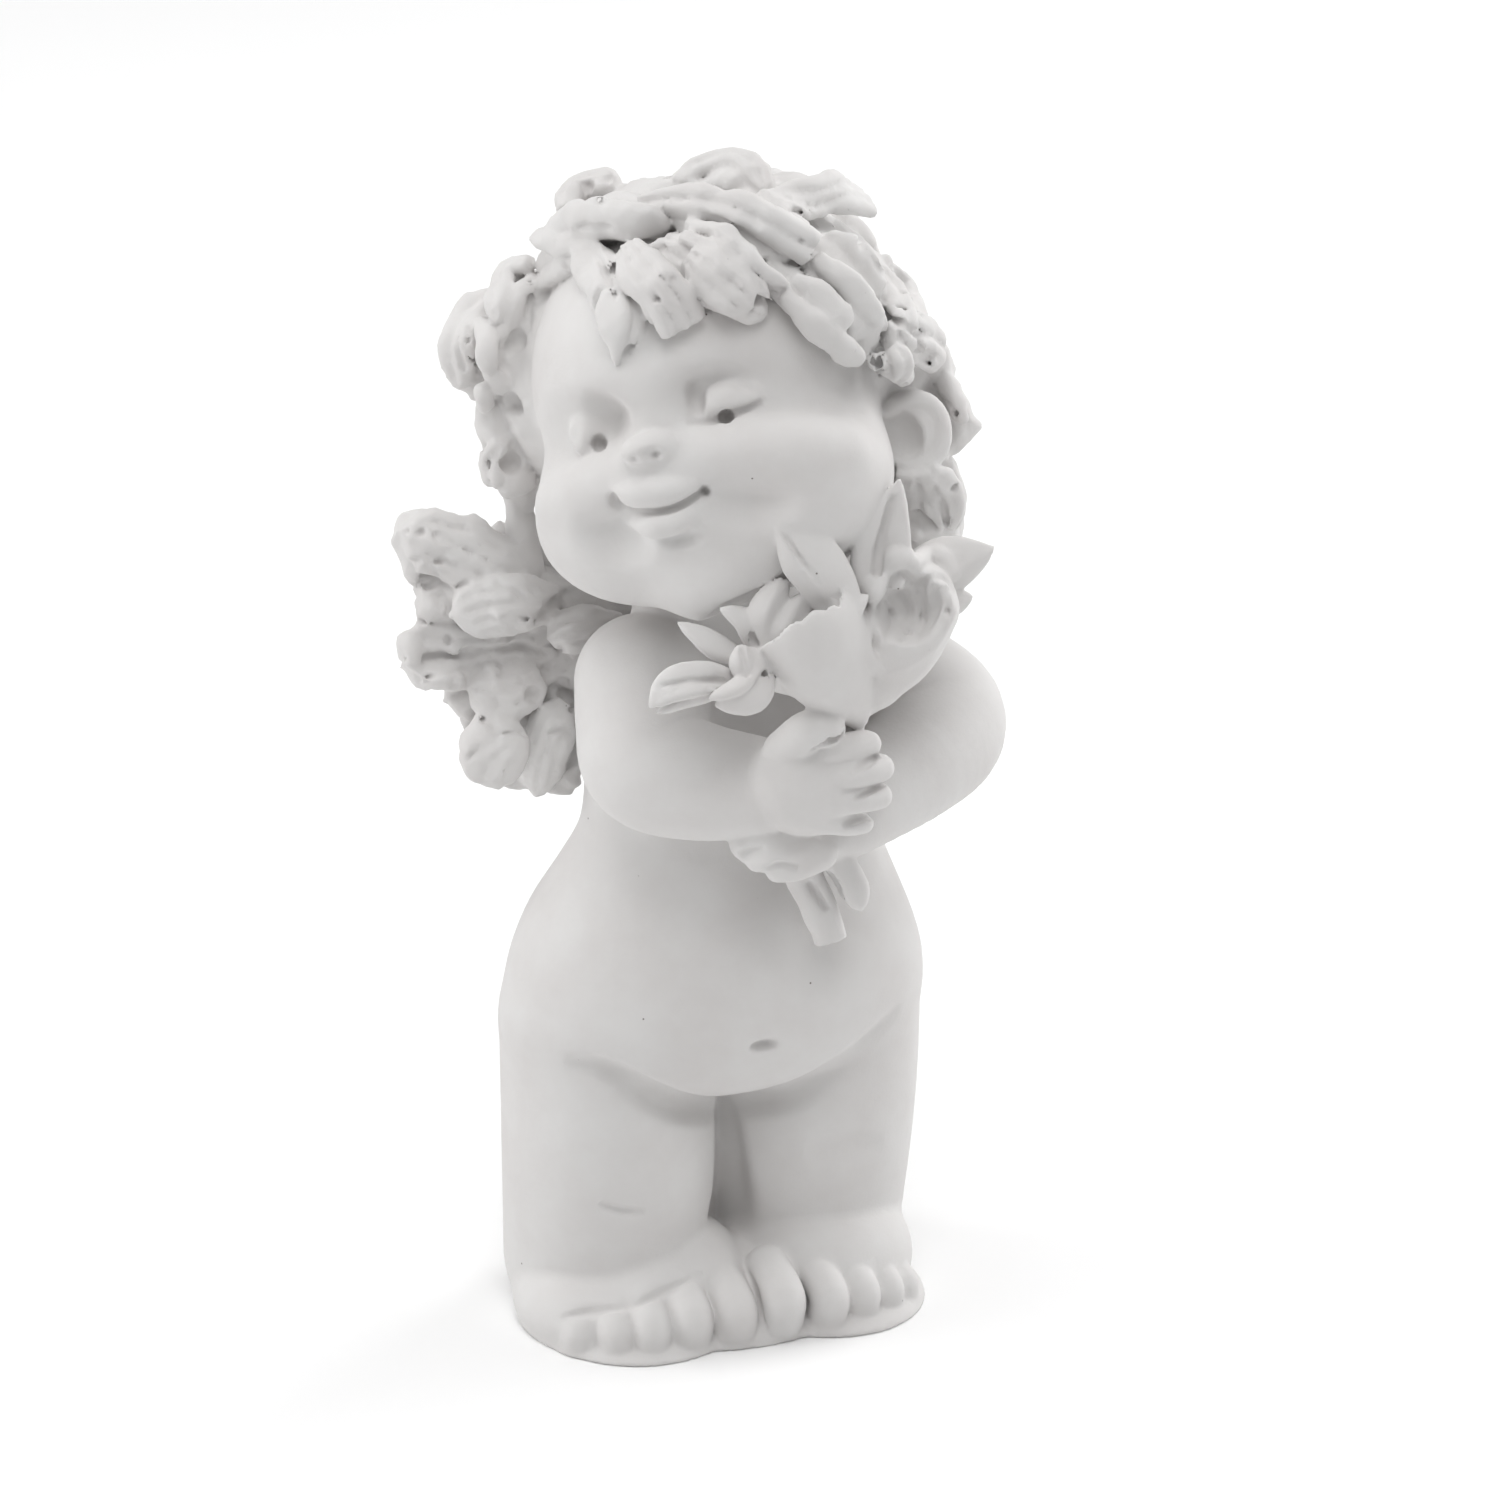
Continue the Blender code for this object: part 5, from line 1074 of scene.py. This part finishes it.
def figurine():
    """The casting as one piece that stands where the solid stands."""
    clay = casting()
    points, faces = skin(clay)
    points = (points + np.array(SHIFT)) * MODULE
    mesh = bpy.data.meshes.new("figurine")
    mesh.vertices.add(len(points))
    mesh.vertices.foreach_set("co", points.astype(np.float32).ravel())
    mesh.loops.add(faces.size)
    mesh.loops.foreach_set("vertex_index", faces.ravel().astype(np.int32))
    mesh.polygons.add(len(faces))
    mesh.polygons.foreach_set("loop_start", np.arange(0, faces.size, 4, dtype=np.int32))
    mesh.update(calc_edges=True)
    lump = bpy.data.objects.new("lump", mesh)
    bpy.context.scene.collection.objects.link(lump)
    lump.modifiers.new("Thin", "DECIMATE").ratio = min(1.0, TRIANGLE_LIMIT / (2 * len(faces)))
    shown = lump.evaluated_get(bpy.context.evaluated_depsgraph_get())
    piece = bpy.data.objects.new("cherub", bpy.data.meshes.new_from_object(shown))
    bpy.data.objects.remove(lump)
    keep_largest(piece.data)
    piece.data.shade_smooth()
    bpy.context.scene.collection.objects.link(piece)
    return piece


def node(tree, kind, **values):
    """A shader node with its inputs or its own settings set by name."""
    made = tree.nodes.new(kind)
    for name, value in values.items():
        name = name.replace("_", " ")
        if name in made.inputs:
            made.inputs[name].default_value = value
        else:
            setattr(made, name.replace(" ", "_"), value)
    return made


def plaster():
    """Unglazed white plaster: faint clouding, fine grain and scattered air pinholes, their shade painted as dark
    dots.
    """
    material = bpy.data.materials.new("cast plaster")
    material.use_nodes = True
    tree = material.node_tree
    link = tree.links.new
    shader = tree.nodes["Principled BSDF"]
    place = node(tree, "ShaderNodeTexCoord").outputs["Object"]
    clouds = node(tree, "ShaderNodeTexNoise", Scale=CLOUD_SCALE, Detail=4.0, Roughness=CLOUD_DETAIL)
    grain = node(tree, "ShaderNodeTexNoise", Scale=GRAIN_SCALE, Detail=3.0, Roughness=GRAIN_DETAIL)
    pores = node(tree, "ShaderNodeTexVoronoi", Scale=PINHOLE_SCALE)
    for texture in (clouds, grain, pores):
        link(place, texture.inputs["Vector"])
    tone = node(tree, "ShaderNodeValToRGB")
    for stop, edge, colour in zip(tone.color_ramp.elements, TONE_EDGES, PLASTER_TONES):
        stop.position, stop.color = edge, colour
    link(clouds.outputs["Fac"], tone.inputs["Fac"])
    # Painted shade: dark dots in the base colour stand in for the shadow inside each pinhole
    pinhole_shade_mask = node(tree, "ShaderNodeMapRange", From_Min=PINHOLE_SHADE_EDGE[0], From_Max=PINHOLE_SHADE_EDGE[1])
    link(pores.outputs["Distance"], pinhole_shade_mask.inputs["Value"])
    pinhole_shade = node(tree, "ShaderNodeMix", data_type="RGBA", blend_type="MIX")
    link(pinhole_shade_mask.outputs["Result"], pinhole_shade.inputs["Factor"])
    pinhole_shade.inputs[6].default_value = PINHOLE_PAINTED_SHADE
    link(tone.outputs["Color"], pinhole_shade.inputs[7])
    link(pinhole_shade.outputs[2], shader.inputs["Base Color"])
    rough = node(tree, "ShaderNodeMapRange", To_Min=PLASTER_ROUGHNESS[0], To_Max=PLASTER_ROUGHNESS[1])
    link(grain.outputs["Fac"], rough.inputs["Value"])
    link(rough.outputs["Result"], shader.inputs["Roughness"])
    coarse = node(tree, "ShaderNodeBump", Strength=CLOUD_RELIEF[0], Distance=CLOUD_RELIEF[1])
    link(clouds.outputs["Fac"], coarse.inputs["Height"])
    fine = node(tree, "ShaderNodeBump", Strength=GRAIN_RELIEF[0], Distance=GRAIN_RELIEF[1])
    link(grain.outputs["Fac"], fine.inputs["Height"])
    link(coarse.outputs["Normal"], fine.inputs["Normal"])
    link(fine.outputs["Normal"], shader.inputs["Normal"])
    return material


def lamp(name, turn, rise, distance, size, power):
    """A soft square lamp that faces the figurine, its turn counted from the camera towards the right."""
    turn, rise = math.radians(CAMERA_TURN - turn), math.radians(rise)
    away = Vector((-math.sin(turn) * math.cos(rise), -math.cos(turn) * math.cos(rise), math.sin(rise)))
    light = bpy.data.lights.new(name, "AREA")
    light.shape, light.size, light.energy = "SQUARE", size, power
    item = bpy.data.objects.new(name, light)
    item.location = Vector((0, 0, HEIGHT / 2)) + away * distance
    item.rotation_euler = away.to_track_quat("Z", "Y").to_euler()
    bpy.context.scene.collection.objects.link(item)


def studio():
    """Pale floor and surround, soft lamps, and the camera."""
    floor_mesh = bpy.data.meshes.new("floor")
    corners = [(x * FLOOR_REACH, y * FLOOR_REACH, 0) for x, y in ((-1, -1), (1, -1), (1, 1), (-1, 1))]
    floor_mesh.from_pydata(corners, [], [(0, 1, 2, 3)])
    floor = bpy.data.objects.new("floor", floor_mesh)
    bpy.context.scene.collection.objects.link(floor)
    paper = bpy.data.materials.new("paper")
    paper.use_nodes = True
    shader = paper.node_tree.nodes["Principled BSDF"]
    shader.inputs["Base Color"].default_value = FLOOR_COLOUR
    shader.inputs["Roughness"].default_value = FLOOR_ROUGHNESS
    floor_mesh.materials.append(paper)
    world = bpy.data.worlds.new("surround")
    world.use_nodes = True
    background = world.node_tree.nodes["Background"]
    background.inputs["Color"].default_value = (1.0, 1.0, 1.0, 1)
    background.inputs["Strength"].default_value = SURROUND_STRENGTH
    bpy.context.scene.world = world
    for settings in LAMPS:
        lamp(*settings)
    camera = bpy.data.objects.new("camera", bpy.data.cameras.new("camera"))
    camera.data.sensor_width, camera.data.lens = SENSOR, LENS
    camera.location = (CAMERA_AIM + Vector(SHIFT) + TOWARDS_CAMERA * CAMERA_DISTANCE) * MODULE
    camera.rotation_euler = TOWARDS_CAMERA.to_track_quat("Z", "Y").to_euler()
    bpy.context.scene.collection.objects.link(camera)
    bpy.context.scene.camera = camera
    bpy.context.scene.view_settings.view_transform = "Standard"


cherub = figurine()
cherub.data.materials.clear()
cherub.data.materials.append(plaster())
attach(cherub, "root")
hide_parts("angel_figurine")
studio()
